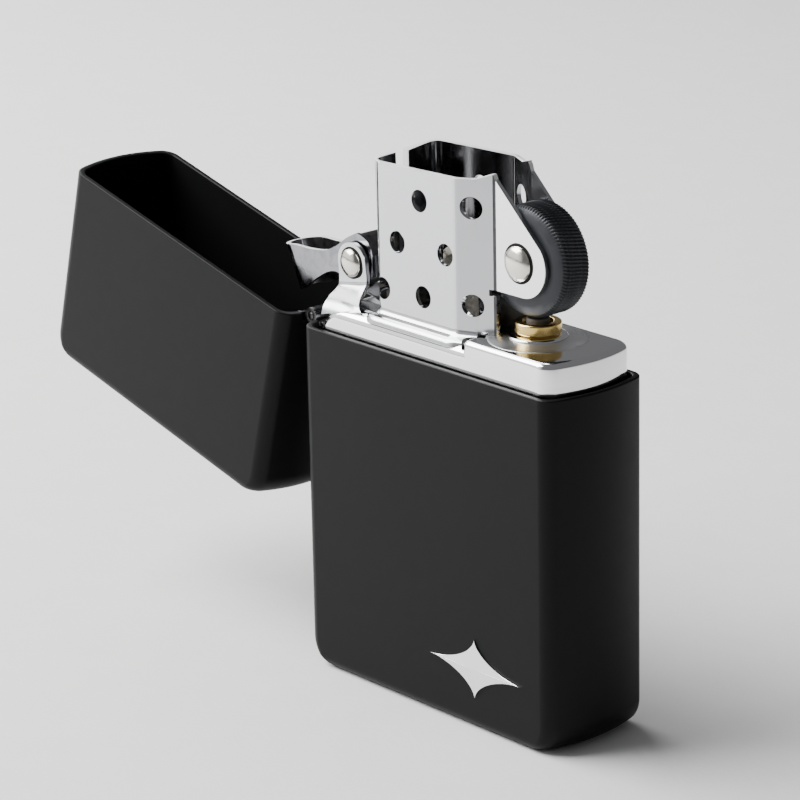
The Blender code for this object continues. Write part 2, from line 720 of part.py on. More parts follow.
def striker_wheel():
    """The striking wheel: a broad rim between two coned sides, bored for its axle."""
    half = WHEEL_WIDTH / 2
    rim = WHEEL_RADIUS
    profile = [
        (0.98 * MM, half - 0.5 * MM),
        (2.2 * MM, half - 0.5 * MM),
        (2.6 * MM, half),
        (rim - 1.15 * MM, half),
        (rim - 0.2 * MM, half - 0.4 * MM),
        (rim, half - 0.6 * MM),
    ]
    profile += [(r, -y) for r, y in reversed(profile)]
    wheel = turned("striker_wheel", profile, HARD_STEEL, 48, closed=True)
    turns = pivot("wheel_pivot", WHEEL_X, WHEEL_Z)
    wheel.parent = turns
    wheel.rotation_euler.x = math.pi / 2


def flint_system():
    """Brass tube with its collar, flint, follower, coil spring and the screw that closes the tube."""
    tube = [
        (2.3, FLINT_TUBE_TOP / MM - 0.15),
        (2.3, 40.35),
        (2.15, 40.2),
        (FLINT_TUBE_RADIUS / MM, 40.2),
        (FLINT_TUBE_RADIUS / MM, FLINT_TUBE_BOTTOM / MM),
        (FLINT_TUBE_BORE / MM, FLINT_TUBE_BOTTOM / MM),
        (FLINT_TUBE_BORE / MM, FLINT_TUBE_TOP / MM - 0.35),
        (1.55, FLINT_TUBE_TOP / MM),
        (2.15, FLINT_TUBE_TOP / MM),
    ]
    place(turned("flint_tube", scaled(tube), BRASS, closed=True))
    radius, top, bottom = FLINT_RADIUS / MM, FLINT_TOP / MM, (FLINT_TOP - FLINT_LENGTH) / MM
    flint = [(0.0, top), (radius - 0.1, top), (radius, top - 0.1), (radius, bottom), (0.0, bottom)]
    place(turned("flint", scaled(flint), FLINT_ALLOY, 20))
    head = bottom - 0.1
    follower = [(0.0, head), (1.0, head), (1.12, head - 0.12), (1.12, head - 0.9), (0.55, head - 1.1)]
    follower += [(0.55, head - 2.4), (0.0, head - 2.4)]
    place(turned("flint_follower", scaled(follower), BRASS, 20))
    place(coil("flint_spring", 0.92 * MM, 0.16 * MM, 9.35 * MM, (head - 1.35) * MM, 15))
    shank = 9.0
    screw = [(0.0, shank), (0.75, shank), (0.75, 8.2), (1.2, 8.0), (1.2, 4.6), (2.3, 4.6), (2.3, 3.2)]
    screw += [(2.1, 3.0), (0.0, 3.0)]
    knob = place(turned("flint_screw", scaled(screw), BRASS))
    slot = box("screw_slot", (-3 * MM, -0.35 * MM, 2.5 * MM), (3 * MM, 0.35 * MM, 3.6 * MM))
    place(slot)
    cut(knob, slot)


def scaled(profile):
    return [(r * MM, z * MM) for r, z in profile]


def place(obj):
    """Stands a shape built about Z on the flint's axis."""
    obj.location.x = FLINT_X
    return obj


def coil(name, radius, wire, bottom, top, turns):
    """A coil spring about Z: an octagonal helix of round wire with closed ends."""
    curve = bpy.data.curves.new(name, "CURVE")
    curve.dimensions = "3D"
    curve.bevel_depth = wire
    curve.bevel_resolution = 1
    curve.use_fill_caps = True
    per_turn = 8
    count = turns * per_turn + 1
    spline = curve.splines.new("POLY")
    spline.points.add(count - 1)
    low, high = bottom + wire, top - wire
    for i in range(count):
        angle = 2 * math.pi * i / per_turn
        z = low + (high - low) * i / (count - 1)
        spline.points[i].co = (radius * math.cos(angle), radius * math.sin(angle), z, 1.0)
    obj = bpy.data.objects.new(name, curve)
    PARTS.objects.link(obj)
    curve.materials.append(SPRING_STEEL)
    return obj


def filling():
    """What holds the fuel: cotton pads round the wick, and the felt pad that closes the can."""
    wick = cylinder(
        "wick",
        (WICK_X, 0.0, (WICK_TOP + 8 * MM) / 2),
        WICK_RADIUS,
        WICK_TOP - 8 * MM,
        finish=COTTON,
        helper=False,
    )
    bevel(wick, 0.3 * MM)
    bays = ((-15.9, -3.3, 7.0, 21.8), (-15.9, -3.3, 22.2, 35.6), (1.3, 7.9, 7.0, 21.8))
    bays += ((1.3, 7.9, 22.2, 38.0), (12.1, 16.2, 7.0, 37.4))
    for number, (left, right, low, high) in enumerate(bays, 1):
        pad = box(
            f"wadding_{number}",
            (left * MM, -4.4 * MM, low * MM),
            (right * MM, 4.4 * MM, high * MM),
            COTTON,
            helper=False,
        )
        bevel(pad, 1.2 * MM)
    rings = []
    for z in (3.9 * MM, 6.4 * MM):
        rings.append(insert_outline(-17.0 * MM, 17.35 * MM, 4.9 * MM, z))
    felt = loft("felt_pad", rings, FELT)
    cut(felt, cylinder("felt_hole", (FLINT_X, 0.0, 5 * MM), 2.6 * MM, 6 * MM))


def bevel(obj, width):
    modifier = obj.modifiers.new("round", "BEVEL")
    modifier.width = width
    modifier.segments = 3
    modifier.limit_method = "ANGLE"


def main():
    case_and_lid()
    emblem()
    insert_can()
    chimney()
    rivet("wheel_axle", WHEEL_X, WHEEL_Z, 0.9 * MM, EAR_OUTSIDE, 1.75 * MM, NICKEL)
    rivet("cam_pin", CAM_X, CAM_Z, 0.75 * MM, CAM_EAR_OUTSIDE, 1.5 * MM, NICKEL)
    cam_lever()
    cam_spring()
    striker_wheel()
    flint_system()
    filling()


main()
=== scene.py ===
"""Looks for the flip-top lighter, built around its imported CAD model.

Everything is in metres in the CAD's frame: +Z up, the origin at the centre of the case's flat bottom,
+X towards the striking wheel's end and -Y towards the face with the emblem. The lid stands open.
"""

import json
import math

import bmesh
import bpy
from mathutils import Matrix, Vector, noise


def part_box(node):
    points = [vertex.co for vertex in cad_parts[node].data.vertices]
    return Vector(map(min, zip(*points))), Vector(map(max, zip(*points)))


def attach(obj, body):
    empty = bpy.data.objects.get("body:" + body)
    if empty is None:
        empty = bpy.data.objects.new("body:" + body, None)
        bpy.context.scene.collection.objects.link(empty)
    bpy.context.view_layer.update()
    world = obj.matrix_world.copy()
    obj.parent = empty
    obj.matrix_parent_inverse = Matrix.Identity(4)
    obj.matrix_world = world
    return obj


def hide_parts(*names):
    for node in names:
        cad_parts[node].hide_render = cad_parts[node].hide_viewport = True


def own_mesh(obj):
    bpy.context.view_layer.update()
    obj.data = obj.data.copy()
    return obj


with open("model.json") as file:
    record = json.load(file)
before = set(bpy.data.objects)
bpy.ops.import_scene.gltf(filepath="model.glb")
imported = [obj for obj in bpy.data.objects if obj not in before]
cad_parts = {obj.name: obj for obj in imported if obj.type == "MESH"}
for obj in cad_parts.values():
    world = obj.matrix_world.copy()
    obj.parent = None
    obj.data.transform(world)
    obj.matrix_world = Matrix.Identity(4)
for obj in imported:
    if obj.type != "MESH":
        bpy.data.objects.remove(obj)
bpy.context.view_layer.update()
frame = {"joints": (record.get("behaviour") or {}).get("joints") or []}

MM = 0.001
JOINTS = {joint["name"]: joint for joint in frame["joints"]}
EVEN = (1.0, 1.0, 1.0)
CUTTERS = []

# Case and lid, from the CAD model
HALF_LENGTH, HALF_DEPTH, CASE_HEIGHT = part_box("case_body")[1]
LID_HEIGHT = 22.1 * MM
SHUT_LINE = 0.3 * MM
WALL = 0.6 * MM
RIM_ROUNDING = 0.14 * MM
END_BULGE = 1.2 * MM
UPRIGHT_EDGE_RADIUS = 1.2 * MM
LONG_EDGE_RADIUS = 1.25 * MM
CASE_CORNER_RADIUS = 3.0 * MM
LID_CORNER_RADIUS = 2.7 * MM

# Hinge
HINGE_X, _, HINGE_Z = JOINTS["lid_hinge"]["pos_m"]
LID_OPENING = -JOINTS["lid_hinge"]["range_deg"][0]
KNUCKLE_RADIUS = 0.85 * MM
KNUCKLE_LENGTH = 1.5 * MM
KNUCKLE_GAP = 0.12 * MM
KNUCKLE_COUNT = 5
HINGE_PIN_RADIUS = 0.4 * MM
LEAF_THICKNESS = 0.35 * MM
LEAF_LENGTH = 7.6 * MM
HINGE_SPAN = KNUCKLE_COUNT * KNUCKLE_LENGTH + (KNUCKLE_COUNT - 1) * KNUCKLE_GAP

# Insert
INSERT_LOW, INSERT_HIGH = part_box("insert_can")
INSERT_LEFT, INSERT_RIGHT = INSERT_LOW.x, INSERT_HIGH.x
INSERT_HALF_DEPTH = INSERT_HIGH.y
INSERT_BOTTOM = INSERT_LOW.z
INSERT_TOP = 38.85 * MM
PLATEAU_LEFT = 5.2 * MM
INSERT_WALL = 0.5 * MM
INSERT_EDGE_RADIUS = 1.2 * MM
INSERT_HINGE_CORNER_RADIUS = 4.5 * MM

# Windguard
SHEET = 0.45 * MM
CHIMNEY_LEFT = -9.1 * MM
CHIMNEY_BEND_X = 2.85 * MM
CHIMNEY_THROAT_X = 6.85 * MM
CHIMNEY_HALF_DEPTH = 4.25 * MM
CHIMNEY_TOP = 54.9 * MM
CHIMNEY_TOP_RISE = 0.095
CHIMNEY_TAB_LEAN = -0.55 * MM
CHIMNEY_CORNER_RADIUS = 1.3 * MM
CHIMNEY_SLOT = (-1.2 * MM, 0.0)
FOOT_BOTTOM = 38.95 * MM
FOOT_TOP = 39.4 * MM
WIND_HOLE_RADIUS = 1.12 * MM
EAR_OUTSIDE = 2.55 * MM
CAM_EAR_OUTSIDE = 2.9 * MM
CAM_EAR_RADIUS = 2.1 * MM

# Wheel, flint and cam
WHEEL_X, _, WHEEL_Z = JOINTS["wheel_spin"]["pos_m"]
WHEEL_RADIUS = 5.55 * MM
WHEEL_TEETH = 96
TOOTH_DEPTH = 0.2 * MM
CAM_X, _, CAM_Z = JOINTS["cam_pivot"]["pos_m"]
CAM_TIP_X = -25.63 * MM
CAM_LEAN = -0.46
CAM_LEAN_Z = 40.3 * MM
FLINT_X = 10.0 * MM
CAM_HEAD_RADIUS = 2.9 * MM
CAM_OUTSIDE = 2.2 * MM
WICK_X = -1.0 * MM


# ---------- materials


def finish(name, colour, metallic=0.0, roughness=0.5, specular=0.5):
    """A material and its node tree, before its grain and wear are added."""
    made = bpy.data.materials.new(name)
    made.use_nodes = True
    values = {"Base Color": (*colour, 1.0), "Metallic": metallic, "Roughness": roughness}
    values["Specular IOR Level"] = specular
    for socket, value in values.items():
        made.node_tree.nodes["Principled BSDF"].inputs[socket].default_value = value
    return made


def grain(made, size, stretch=EVEN, detail=3.0, distortion=0.0):
    """A noise field over the piece: size is its feature's size in mm, along each axis times stretch."""
    nodes, links = made.node_tree.nodes, made.node_tree.links
    place = nodes.new("ShaderNodeTexCoord")
    mapping = nodes.new("ShaderNodeMapping")
    mapping.inputs["Scale"].default_value = [1.0 / (size * MM * s) for s in stretch]
    field = nodes.new("ShaderNodeTexNoise")
    for socket, value in (("Scale", 1.0), ("Detail", detail), ("Distortion", distortion)):
        field.inputs[socket].default_value = value
    links.new(place.outputs["Object"], mapping.inputs["Vector"])
    links.new(mapping.outputs["Vector"], field.inputs["Vector"])
    return field.outputs["Fac"]


def vary_colour(made, field, first, second):
    nodes, links = made.node_tree.nodes, made.node_tree.links
    mix = nodes.new("ShaderNodeMix")
    mix.data_type = "RGBA"
    mix.inputs["A"].default_value = (*first, 1.0)
    mix.inputs["B"].default_value = (*second, 1.0)
    links.new(field, mix.inputs["Factor"])
    links.new(mix.outputs["Result"], nodes["Principled BSDF"].inputs["Base Color"])


def vary_roughness(made, field, low, high):
    nodes, links = made.node_tree.nodes, made.node_tree.links
    spread = nodes.new("ShaderNodeMapRange")
    for socket, value in (("From Min", 0.35), ("From Max", 0.65), ("To Min", low), ("To Max", high)):
        spread.inputs[socket].default_value = value
    links.new(field, spread.inputs["Value"])
    links.new(spread.outputs["Result"], nodes["Principled BSDF"].inputs["Roughness"])


def relief(made, *layers):
    """Bump from one or more (field, height in mm) layers."""
    nodes, links = made.node_tree.nodes, made.node_tree.links
    last = None
    for field, height in layers:
        bump = nodes.new("ShaderNodeBump")
        bump.inputs["Strength"].default_value = 1.0
        bump.inputs["Distance"].default_value = height * MM
        links.new(field, bump.inputs["Height"])
        if last is not None:
            links.new(last, bump.inputs["Normal"])
        last = bump.outputs["Normal"]
    links.new(last, nodes["Principled BSDF"].inputs["Normal"])
    return made


def worn(name, colour, tones, rough, stain, bumps, roughness=0.16, metallic=1.0, specular=0.5):
    """A finish that wanders between two tones and two roughnesses over one field of stains.

    stain, and the field of each (field, height) bump, are grain's arguments. A bump whose field is
    None follows the stains.
    """
    made = finish(name, colour, metallic, roughness, specular)
    stains = grain(made, *stain)
    vary_colour(made, stains, *tones)
    vary_roughness(made, stains, *rough)
    return relief(made, *[(grain(made, *field) if field else stains, height) for field, height in bumps])


def black_paint():
    made = finish("black_paint", (0.0042, 0.0042, 0.0044), roughness=0.42, specular=0.1)
    vary_colour(made, grain(made, 7.0), (0.004, 0.004, 0.0042), (0.0046, 0.0046, 0.0048))
    vary_roughness(made, grain(made, 1.2), 0.405, 0.435)
    return relief(made, (grain(made, 0.1, detail=2.0), 0.003))


def chrome(name="bright_chrome", rough=(0.05, 0.12), wave=0.016, tone=0.84):
    tones = (tone * 0.97,) * 3, (tone, tone * 1.008, tone * 1.02)
    bumps = ((4.5, EVEN, 1.0), wave), ((0.16, EVEN, 2.0), 0.00025)
    colour = (tone, tone * 1.006, tone * 1.018)
    return worn(name, colour, tones, rough, (3.2, EVEN, 4.0, 0.4), bumps, rough[0])


def satin_chrome(name, tone):
    """The windguard's sheet: bright, with a light drawn grain that softens what it reflects."""
    low, high = 0.94 * tone, 1.06 * tone
    tones = (low, low * 1.015, low * 1.05), (high, high * 1.015, high * 1.045)
    bumps = ((5.0, EVEN, 1.0), 0.007), ((0.12, (1.0, 1.0, 14.0)), 0.0012)
    return worn(name, (tone,) * 3, tones, (0.12, 0.24), (3.0, EVEN, 4.0, 0.3), bumps, 0.2)


def fibres(name, first, second, size, height, stretch=EVEN):
    made = finish(name, first, roughness=0.95, specular=0.15)
    shader = made.node_tree.nodes["Principled BSDF"]
    shader.inputs["Sheen Weight"].default_value = 0.35
    shader.inputs["Sheen Roughness"].default_value = 0.5
    strand = grain(made, size, stretch, 5.0, 1.2)
    vary_colour(made, grain(made, size * 6, detail=4.0), first, second)
    vary_roughness(made, strand, 0.85, 1.0)
    return relief(made, (strand, height))


BLACK = black_paint()
CHROME = chrome()
# Polished metal for the emblem; also a painted highlight on the wheel's ears, a brighter copy of the guard's
# sheet
BADGE_AND_SHEEN = chrome("polished_badge_and_painted_sheen", (0.12, 0.22), 0.004, 0.9)
DULL = chrome("pressed_boss", (0.26, 0.38), tone=0.72)
# A brighter, rougher chrome: painted highlight on the upward faces of the top edges
LIT_EDGE = chrome("painted_highlight_edge", (0.42, 0.55), tone=0.92)
SATIN = satin_chrome("satin_chrome", 0.58)
# A darker copy of the satin chrome: painted shade on the slanted walls and the cam ear's skirt
SHADED_SATIN = satin_chrome("painted_shade_satin", 0.46)
# The windguard's inner faces and hole bores: a darker, smoother copy of the chrome, as painted shade
SHADED = worn(
    "painted_shade_chrome", (0.3, 0.3, 0.31), ((0.12, 0.12, 0.125), (0.42, 0.42, 0.43)), (0.06, 0.16),
    (2.2, (1.0, 1.0, 3.0), 4.0, 0.5), [((1.6, (1.0, 1.0, 6.0), 1.0), 0.02)], 0.1,
)
# Spring steel, dark from its heat treatment and polished by wear
STEEL = worn(
    "rolled_steel", (0.24, 0.245, 0.26), ((0.12, 0.125, 0.145), (0.36, 0.36, 0.37)), (0.1, 0.22),
    (1.3, EVEN, 4.0, 0.8), [(None, 0.02), ((0.1, (12.0, 1.0, 1.0)), 0.0015)],
)
# Dark steel for the hinge; also used as painted shade in bends, creases and the lever's inside
DARK_STEEL_AND_SHADE = worn(
    "dark_steel_and_painted_shade", (0.05, 0.05, 0.052), ((0.035, 0.035, 0.037), (0.11, 0.11, 0.112)), (0.26, 0.45),
    (0.8, EVEN, 4.0), [((0.12,), 0.003)], 0.34,
)
# Painted shadow: a near-black finish for the shade in the narrow gap round a rivet's head and along the
# raised end's foot
GAP_SHADOW = worn(
    "painted_gap_shadow", (0.008, 0.008, 0.008), ((0.005, 0.005, 0.005), (0.014, 0.013, 0.012)), (0.6, 0.8),
    (0.2,), [(None, 0.004)], 0.7, metallic=0.0, specular=0.2,
)
NICKEL = worn(
    "warm_nickel", (0.74, 0.71, 0.65), ((0.66, 0.62, 0.54), (0.78, 0.76, 0.71)), (0.12, 0.24),
    (0.9,), [((0.5, EVEN, 2.0), 0.008)],
)
BRASS = worn(
    "turned_brass", (0.78, 0.55, 0.2), ((0.62, 0.42, 0.13), (0.85, 0.63, 0.25)), (0.12, 0.26),
    (1.3,), [((0.06, (20.0, 20.0, 1.0), 2.0), 0.0025)],
)
WHEEL = worn(
    "blackened_steel", (0.02, 0.02, 0.021), ((0.02, 0.021, 0.024), (0.034, 0.036, 0.041)), (0.38, 0.52),
    (0.7, EVEN, 4.0), [((0.1,), 0.003)], 0.45, metallic=0.3, specular=0.3,
)
FLINT = worn(
    "flint_alloy", (0.16, 0.15, 0.14), ((0.09, 0.085, 0.08), (0.24, 0.22, 0.2)), (0.5, 0.75),
    (0.16, EVEN, 5.0), [(None, 0.03)], 0.62, metallic=0.5,
)
COTTON = fibres("loose_cotton", (0.86, 0.84, 0.79), (0.76, 0.74, 0.68), 0.35, 0.12)
WICK_YARN = fibres("wick_yarn", (0.84, 0.8, 0.7), (0.66, 0.6, 0.5), 0.07, 0.04, (1.0, 1.0, 4.0))
FELT = fibres("pressed_felt", (0.6, 0.58, 0.54), (0.5, 0.485, 0.45), 0.18, 0.07)


# ---------- building blocks


def placed(name, data):
    """A new object in the scene."""
    obj = bpy.data.objects.new(name, data)
    bpy.context.scene.collection.objects.link(obj)
    return obj


def add(name, bm, looks=None):
    """A new object from a bmesh: a shown piece with its material, or a hidden cutter without one."""
    mesh = bpy.data.meshes.new(name)
    bm.to_mesh(mesh)
    bm.free()
    obj = placed(name, mesh)
    if looks is None:
        CUTTERS.append(obj)
    else:
        mesh.materials.append(looks)
    return obj


def mm(*lengths):
    """Lengths in millimetres, as metres."""
    return tuple(length * MM for length in lengths)


def scaled(points):
    return [mm(*point) for point in points]


def quarter(steps):
    """The angles from 0 to 90 degrees in even steps, in radians."""
    return [math.radians(90 * i / steps) for i in range(steps + 1)]


def around(steps):
    """The angles of a full turn in even steps, in radians."""
    return [2 * math.pi * i / steps for i in range(steps)]


def inward(at, facing):
    """How far a face looks towards the plane y = 0, from -1 to 1."""
    return -facing.y * math.copysign(1.0, at.y)


def loft(name, rings, looks=None, closed=False):
    """A closed skin through rings of points; capped at both ends, or joined end to start when closed.

    A ring of one point makes a tip.
    """
    bm = bmesh.new()
    rows = [[bm.verts.new(point) for point in ring] for ring in rings]
    for upper, lower in list(zip(rows, rows[1:])) + ([(rows[-1], rows[0])] if closed else []):
        count = max(len(upper), len(lower))
        for i in range(count):
            j = (i + 1) % count
            if len(upper) == 1:
                bm.faces.new((upper[0], lower[i], lower[j]))
            elif len(lower) == 1:
                bm.faces.new((upper[i], lower[0], upper[j]))
            else:
                bm.faces.new((upper[i], lower[i], lower[j], upper[j]))
    if not closed:
        for row in (rows[0], rows[-1]):
            if len(row) > 1:
                bm.faces.new(row)
    bmesh.ops.recalc_face_normals(bm, faces=bm.faces)
    return add(name, bm, looks)


def turned(name, profile, looks=None, steps=64, closed=False, centre=(0.0, 0.0, 0.0), axis="Z"):
    """A turned solid: (radius, height) points down its outer side, round Z or, for axis Y, round Y."""
    rings = []
    for radius, height in profile:
        ring = []
        for angle in around(1 if radius < 1e-9 else steps):
            x, y = radius * math.cos(angle), radius * math.sin(angle)
            ring.append(Vector((x, y, height) if axis == "Z" else (x, -height, y)) + Vector(centre))
        rings.append(ring)
    return loft(name, rings, looks, closed)


def cylinder(name, centre, radius, length, axis="Z", steps=48):
    half = length / 2
    profile = [(0.0, half), (radius, half), (radius, -half), (0.0, -half)]
    return turned(name, profile, None, steps, centre=centre, axis=axis)


def pin_hole(x, z, radius):
    """A cutter along Y, through both cheeks of the windguard or the lever."""
    return cylinder("pin_hole", (x, 0.0, z), radius, 8 * MM, "Y", 32)


def box(name, low, high):
    bm = bmesh.new()
    bmesh.ops.create_cube(bm, size=1.0)
    bmesh.ops.scale(bm, verts=bm.verts, vec=[b - a for a, b in zip(low, high)])
    bmesh.ops.translate(bm, verts=bm.verts, vec=[(a + b) / 2 for a, b in zip(low, high)])
    return add(name, bm)


def prism(name, outline, low, high, axis="Y", looks=None):
    """A flat outline in (x, z), or (x, y) for axis Z, pushed from low to high along the axis."""
    rings = [[(a, level, b) if axis == "Y" else (a, b, level) for a, b in outline] for level in (low, high)]
    return loft(name, rings, looks)


def arc(x, z, radius, start, end, steps):
    """Points on an arc, with its angles in degrees counted from +X towards the second axis."""
    angles = [math.radians(start + (end - start) * i / steps) for i in range(steps + 1)]
    return [(x + radius * math.cos(a), z + radius * math.sin(a)) for a in angles]


def fillet(points, radii, steps=8):
    """An open path with its inner corners rounded. radii holds one radius for each inner corner."""
    out = [points[0]]
    for before, corner, after, radius in zip(points, points[1:], points[2:], radii):
        b, c, a = Vector(before), Vector(corner), Vector(after)
        u, v = (b - c).normalized(), (a - c).normalized()
        angle = u.angle(v)
        reach = min(radius / math.tan(angle / 2), 0.49 * (b - c).length, 0.49 * (a - c).length)
        start, end = c + u * reach, c + v * reach
        for i in range(steps + 1):
            t = i / steps
            out.append(tuple(start * (1 - t) ** 2 + c * 2 * t * (1 - t) + end * t**2))
    out.append(points[-1])
    return out


def flow(points, steps=6):
    """A smooth curve through the points."""
    out = []
    for i in range(len(points) - 1):
        p0, p1 = Vector(points[max(i - 1, 0)]), Vector(points[i])
        p2, p3 = Vector(points[i + 1]), Vector(points[min(i + 2, len(points) - 1)])
        square, cube = 2 * p0 - 5 * p1 + 4 * p2 - p3, 3 * p1 - p0 - 3 * p2 + p3
        for k in range(steps):
            t = k / steps
            out.append(tuple(0.5 * (2 * p1 + (p2 - p0) * t + square * t**2 + cube * t**3)))
    out.append(tuple(points[-1]))
    return out


def bake(obj):
    """The object's modifiers, made part of its mesh."""
    bpy.context.view_layer.update()
    graph = bpy.context.evaluated_depsgraph_get()
    mesh = bpy.data.meshes.new_from_object(obj.evaluated_get(graph))
    obj.modifiers.clear()
    obj.data = mesh
    return obj


def combine(target, others, operation):
    """A Boolean of the target with each of the others, which are used up."""
    for other in others:
        modifier = target.modifiers.new(other.name, "BOOLEAN")
        modifier.operation = operation
        modifier.object = other
    bake(target)
    for other in others:
        CUTTERS.remove(other)
        bpy.data.objects.remove(other)
    return target


def join(target, *others):
    return combine(target, others, "UNION")


def cut(target, *others):
    return combine(target, others, "DIFFERENCE")


def merge(target, *others):
    """The others' surfaces added to the target's as they are, each with its own material."""
    for obj in others:
        if obj in CUTTERS:
            CUTTERS.remove(obj)
    with bpy.context.temp_override(active_object=target, selected_editable_objects=[target, *others]):
        bpy.ops.object.join()
    return target


def ease(obj, width, angle=40.0, segments=2):
    """Rounds the edges sharper than the angle, and shades the rest smooth."""
    bevel = obj.modifiers.new("ease", "BEVEL")
    bevel.width = width
    bevel.segments = segments
    bevel.limit_method = "ANGLE"
    bevel.angle_limit = math.radians(angle)
    bevel.miter_outer = "MITER_ARC"
    return smooth(bake(obj))


def smooth(obj):
    obj.data.shade_smooth()
    weights = obj.modifiers.new("flats", "WEIGHTED_NORMAL")
    weights.keep_sharp = False
    weights.weight = 60
    return bake(obj)


def crease(obj, degrees):
    """Smooth shading, but for the edges sharper than this."""
    obj.data.shade_smooth()
    obj.data.set_sharp_from_angle(angle=math.radians(degrees))


def repaint(obj, looks, test):
    """A second material on the faces whose middle, in mm, and direction pass the test."""
    obj.data.materials.append(looks)
    last = len(obj.data.materials) - 1
    for face in obj.data.polygons:
        if test(face.center / MM, face.normal):
            face.material_index = last
    return obj


def stands_for(obj, body, slot, *nodes):
    """The piece rides on a CAD body and replaces CAD nodes, which are hidden; slot is not used."""
    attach(obj, body)
    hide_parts(*nodes)
    return obj


# ---------- case and lid


def bowed_outline(left, right, half_depth, z, edge_radius=UPRIGHT_EDGE_RADIUS):
    """A level section: flat front and back, and ends that bow outwards between round edges."""
    flat = half_depth - edge_radius
    rows = []
    for a in quarter(8)[:0:-1]:
        rows.append((flat + edge_radius * math.sin(a), edge_radius * (1 - math.cos(a))))
    rows += [(flat * (1 - i / 7), 0.0) for i in range(7)] + [(0.0, 0.0)]
    rows += [(-y, inset) for y, inset in reversed(rows[:-1])]
    side = [(y, inset + END_BULGE * (y / half_depth) ** 2) for y, inset in rows]
    right_end = [(right - inset, y, z) for y, inset in reversed(side)]
    return right_end + [(left + inset, y, z) for y, inset in side]


def rounding(radius, height):
    """How far a quarter-round edge stands in from its side at this height above its start."""
    short = max(radius - height, 0.0)
    return radius - math.sqrt(max(radius**2 - short**2, 0.0))


def shell_rings(inset, corner_radius, base, direction):
    """Sections of the shell's closed end, from its flat (at base) on in the direction of +-Z."""
    long_radius = LONG_EDGE_RADIUS - inset / 2
    levels = [long_radius * (1 - math.cos(a)) for a in quarter(12)]
    levels += [long_radius + (corner_radius - long_radius) * i / 10 for i in range(1, 11)]
    rings = []
    for height in levels:
        reach = HALF_LENGTH - inset - rounding(corner_radius, height)
        depth = HALF_DEPTH - inset - rounding(long_radius, height)
        edge = UPRIGHT_EDGE_RADIUS - inset / 2
        rings.append(bowed_outline(-reach, reach, depth, base + direction * height, edge))
    return rings


def cup(name, base, rim, direction, corner_radius):
    """The case or lid: a drawn cup of even wall with a softly rounded rim."""
    skins = []
    for inset, lean in ((0.0, 1), (WALL, -1)):
        skin = shell_rings(inset, corner_radius - inset, base + direction * inset, direction)
        for angle in quarter(4):
            edge = inset + lean * RIM_ROUNDING * (1 - math.cos(angle))
            level = rim - direction * RIM_ROUNDING * (1 - math.sin(angle))
            reach, depth = HALF_LENGTH - edge, HALF_DEPTH - edge
            skin.append(bowed_outline(-reach, reach, depth, level, UPRIGHT_EDGE_RADIUS - inset / 2))
        skins.append(skin)
    return loft(name, skins[0] + skins[1][::-1], BLACK)


def hinge_notch(name, towards):
    """The window in an end wall that the knuckles sit in, below (-1) or above (+1) the axis."""
    half = HINGE_SPAN / 2 + 0.25 * MM
    far, past = HINGE_Z + towards * (KNUCKLE_RADIUS + 0.3 * MM), HINGE_Z - towards * 2 * MM
    low = (HINGE_X - 3 * MM, -half, min(far, past))
    return box(name, low, (HINGE_X + 3 * MM, half, max(far, past)))


def leaf_x(y):
    """Where the middle of a hinge leaf stands, against the bowed end wall."""
    bow = END_BULGE * (y / (HALF_DEPTH - WALL)) ** 2
    return -(HALF_LENGTH - WALL - 0.1 * MM - LEAF_THICKNESS / 2 - bow)


def hinge_leaf(name, towards, knuckles):
    """A bowed leaf against the end wall with its knuckles: towards is -1 on the case, +1 on the lid."""
    near = HINGE_Z + towards * 0.4 * MM
    far = HINGE_Z + towards * LEAF_LENGTH
    half = HINGE_SPAN / 2
    rings = []
    for i in range(25):
        y = -half + 2 * half * i / 24
        x = leaf_x(y)
        outside, inside = x - LEAF_THICKNESS / 2, x + LEAF_THICKNESS / 2
        rings.append([(outside, y, near), (inside, y, near), (inside, y, far), (outside, y, far)])
    leaf = loft(name, rings, DARK_STEEL_AND_SHADE)
    additions = []
    for number in knuckles:
        y = -half + KNUCKLE_LENGTH / 2 + number * (KNUCKLE_LENGTH + KNUCKLE_GAP)
        web_half = KNUCKLE_LENGTH / 2 - 0.06 * MM
        levels = sorted((HINGE_Z + towards * 0.35 * MM, HINGE_Z + towards * 0.78 * MM))
        centre = (HINGE_X, y, HINGE_Z)
        additions.append(cylinder("barrel", centre, KNUCKLE_RADIUS, KNUCKLE_LENGTH, "Y", 40))
        low = (HINGE_X, y - web_half, levels[0])
        additions.append(box("web", low, (leaf_x(y), y + web_half, levels[1])))
    join(leaf, *additions)
    bore_radius = HINGE_PIN_RADIUS + 0.06 * MM
    cut(leaf, cylinder("bore", (HINGE_X, 0.0, HINGE_Z), bore_radius, 2 * HINGE_SPAN, "Y", 32))
    return ease(leaf, 0.07 * MM)


def build_half(body, shell, direction, knuckles, node):
    """The case or lid finished: the window for its knuckles, soft edges and its hinge leaf."""
    cut(shell, hinge_notch("notch", -direction))
    ease(shell, 0.07 * MM, angle=45)
    leaf = hinge_leaf(f"{body}_leaf", -direction, knuckles)
    for obj, slot, stood_for in ((shell, "black_paint", node), (leaf, "hinge_steel", f"{body}_hinge_leaf")):
        if body == "lid":
            about = Matrix.Translation((HINGE_X, 0.0, HINGE_Z))
            opening = Matrix.Rotation(math.radians(-LID_OPENING), 4, "Y")
            obj.data.transform(about @ opening @ about.inverted())
        stands_for(obj, body, slot, stood_for)


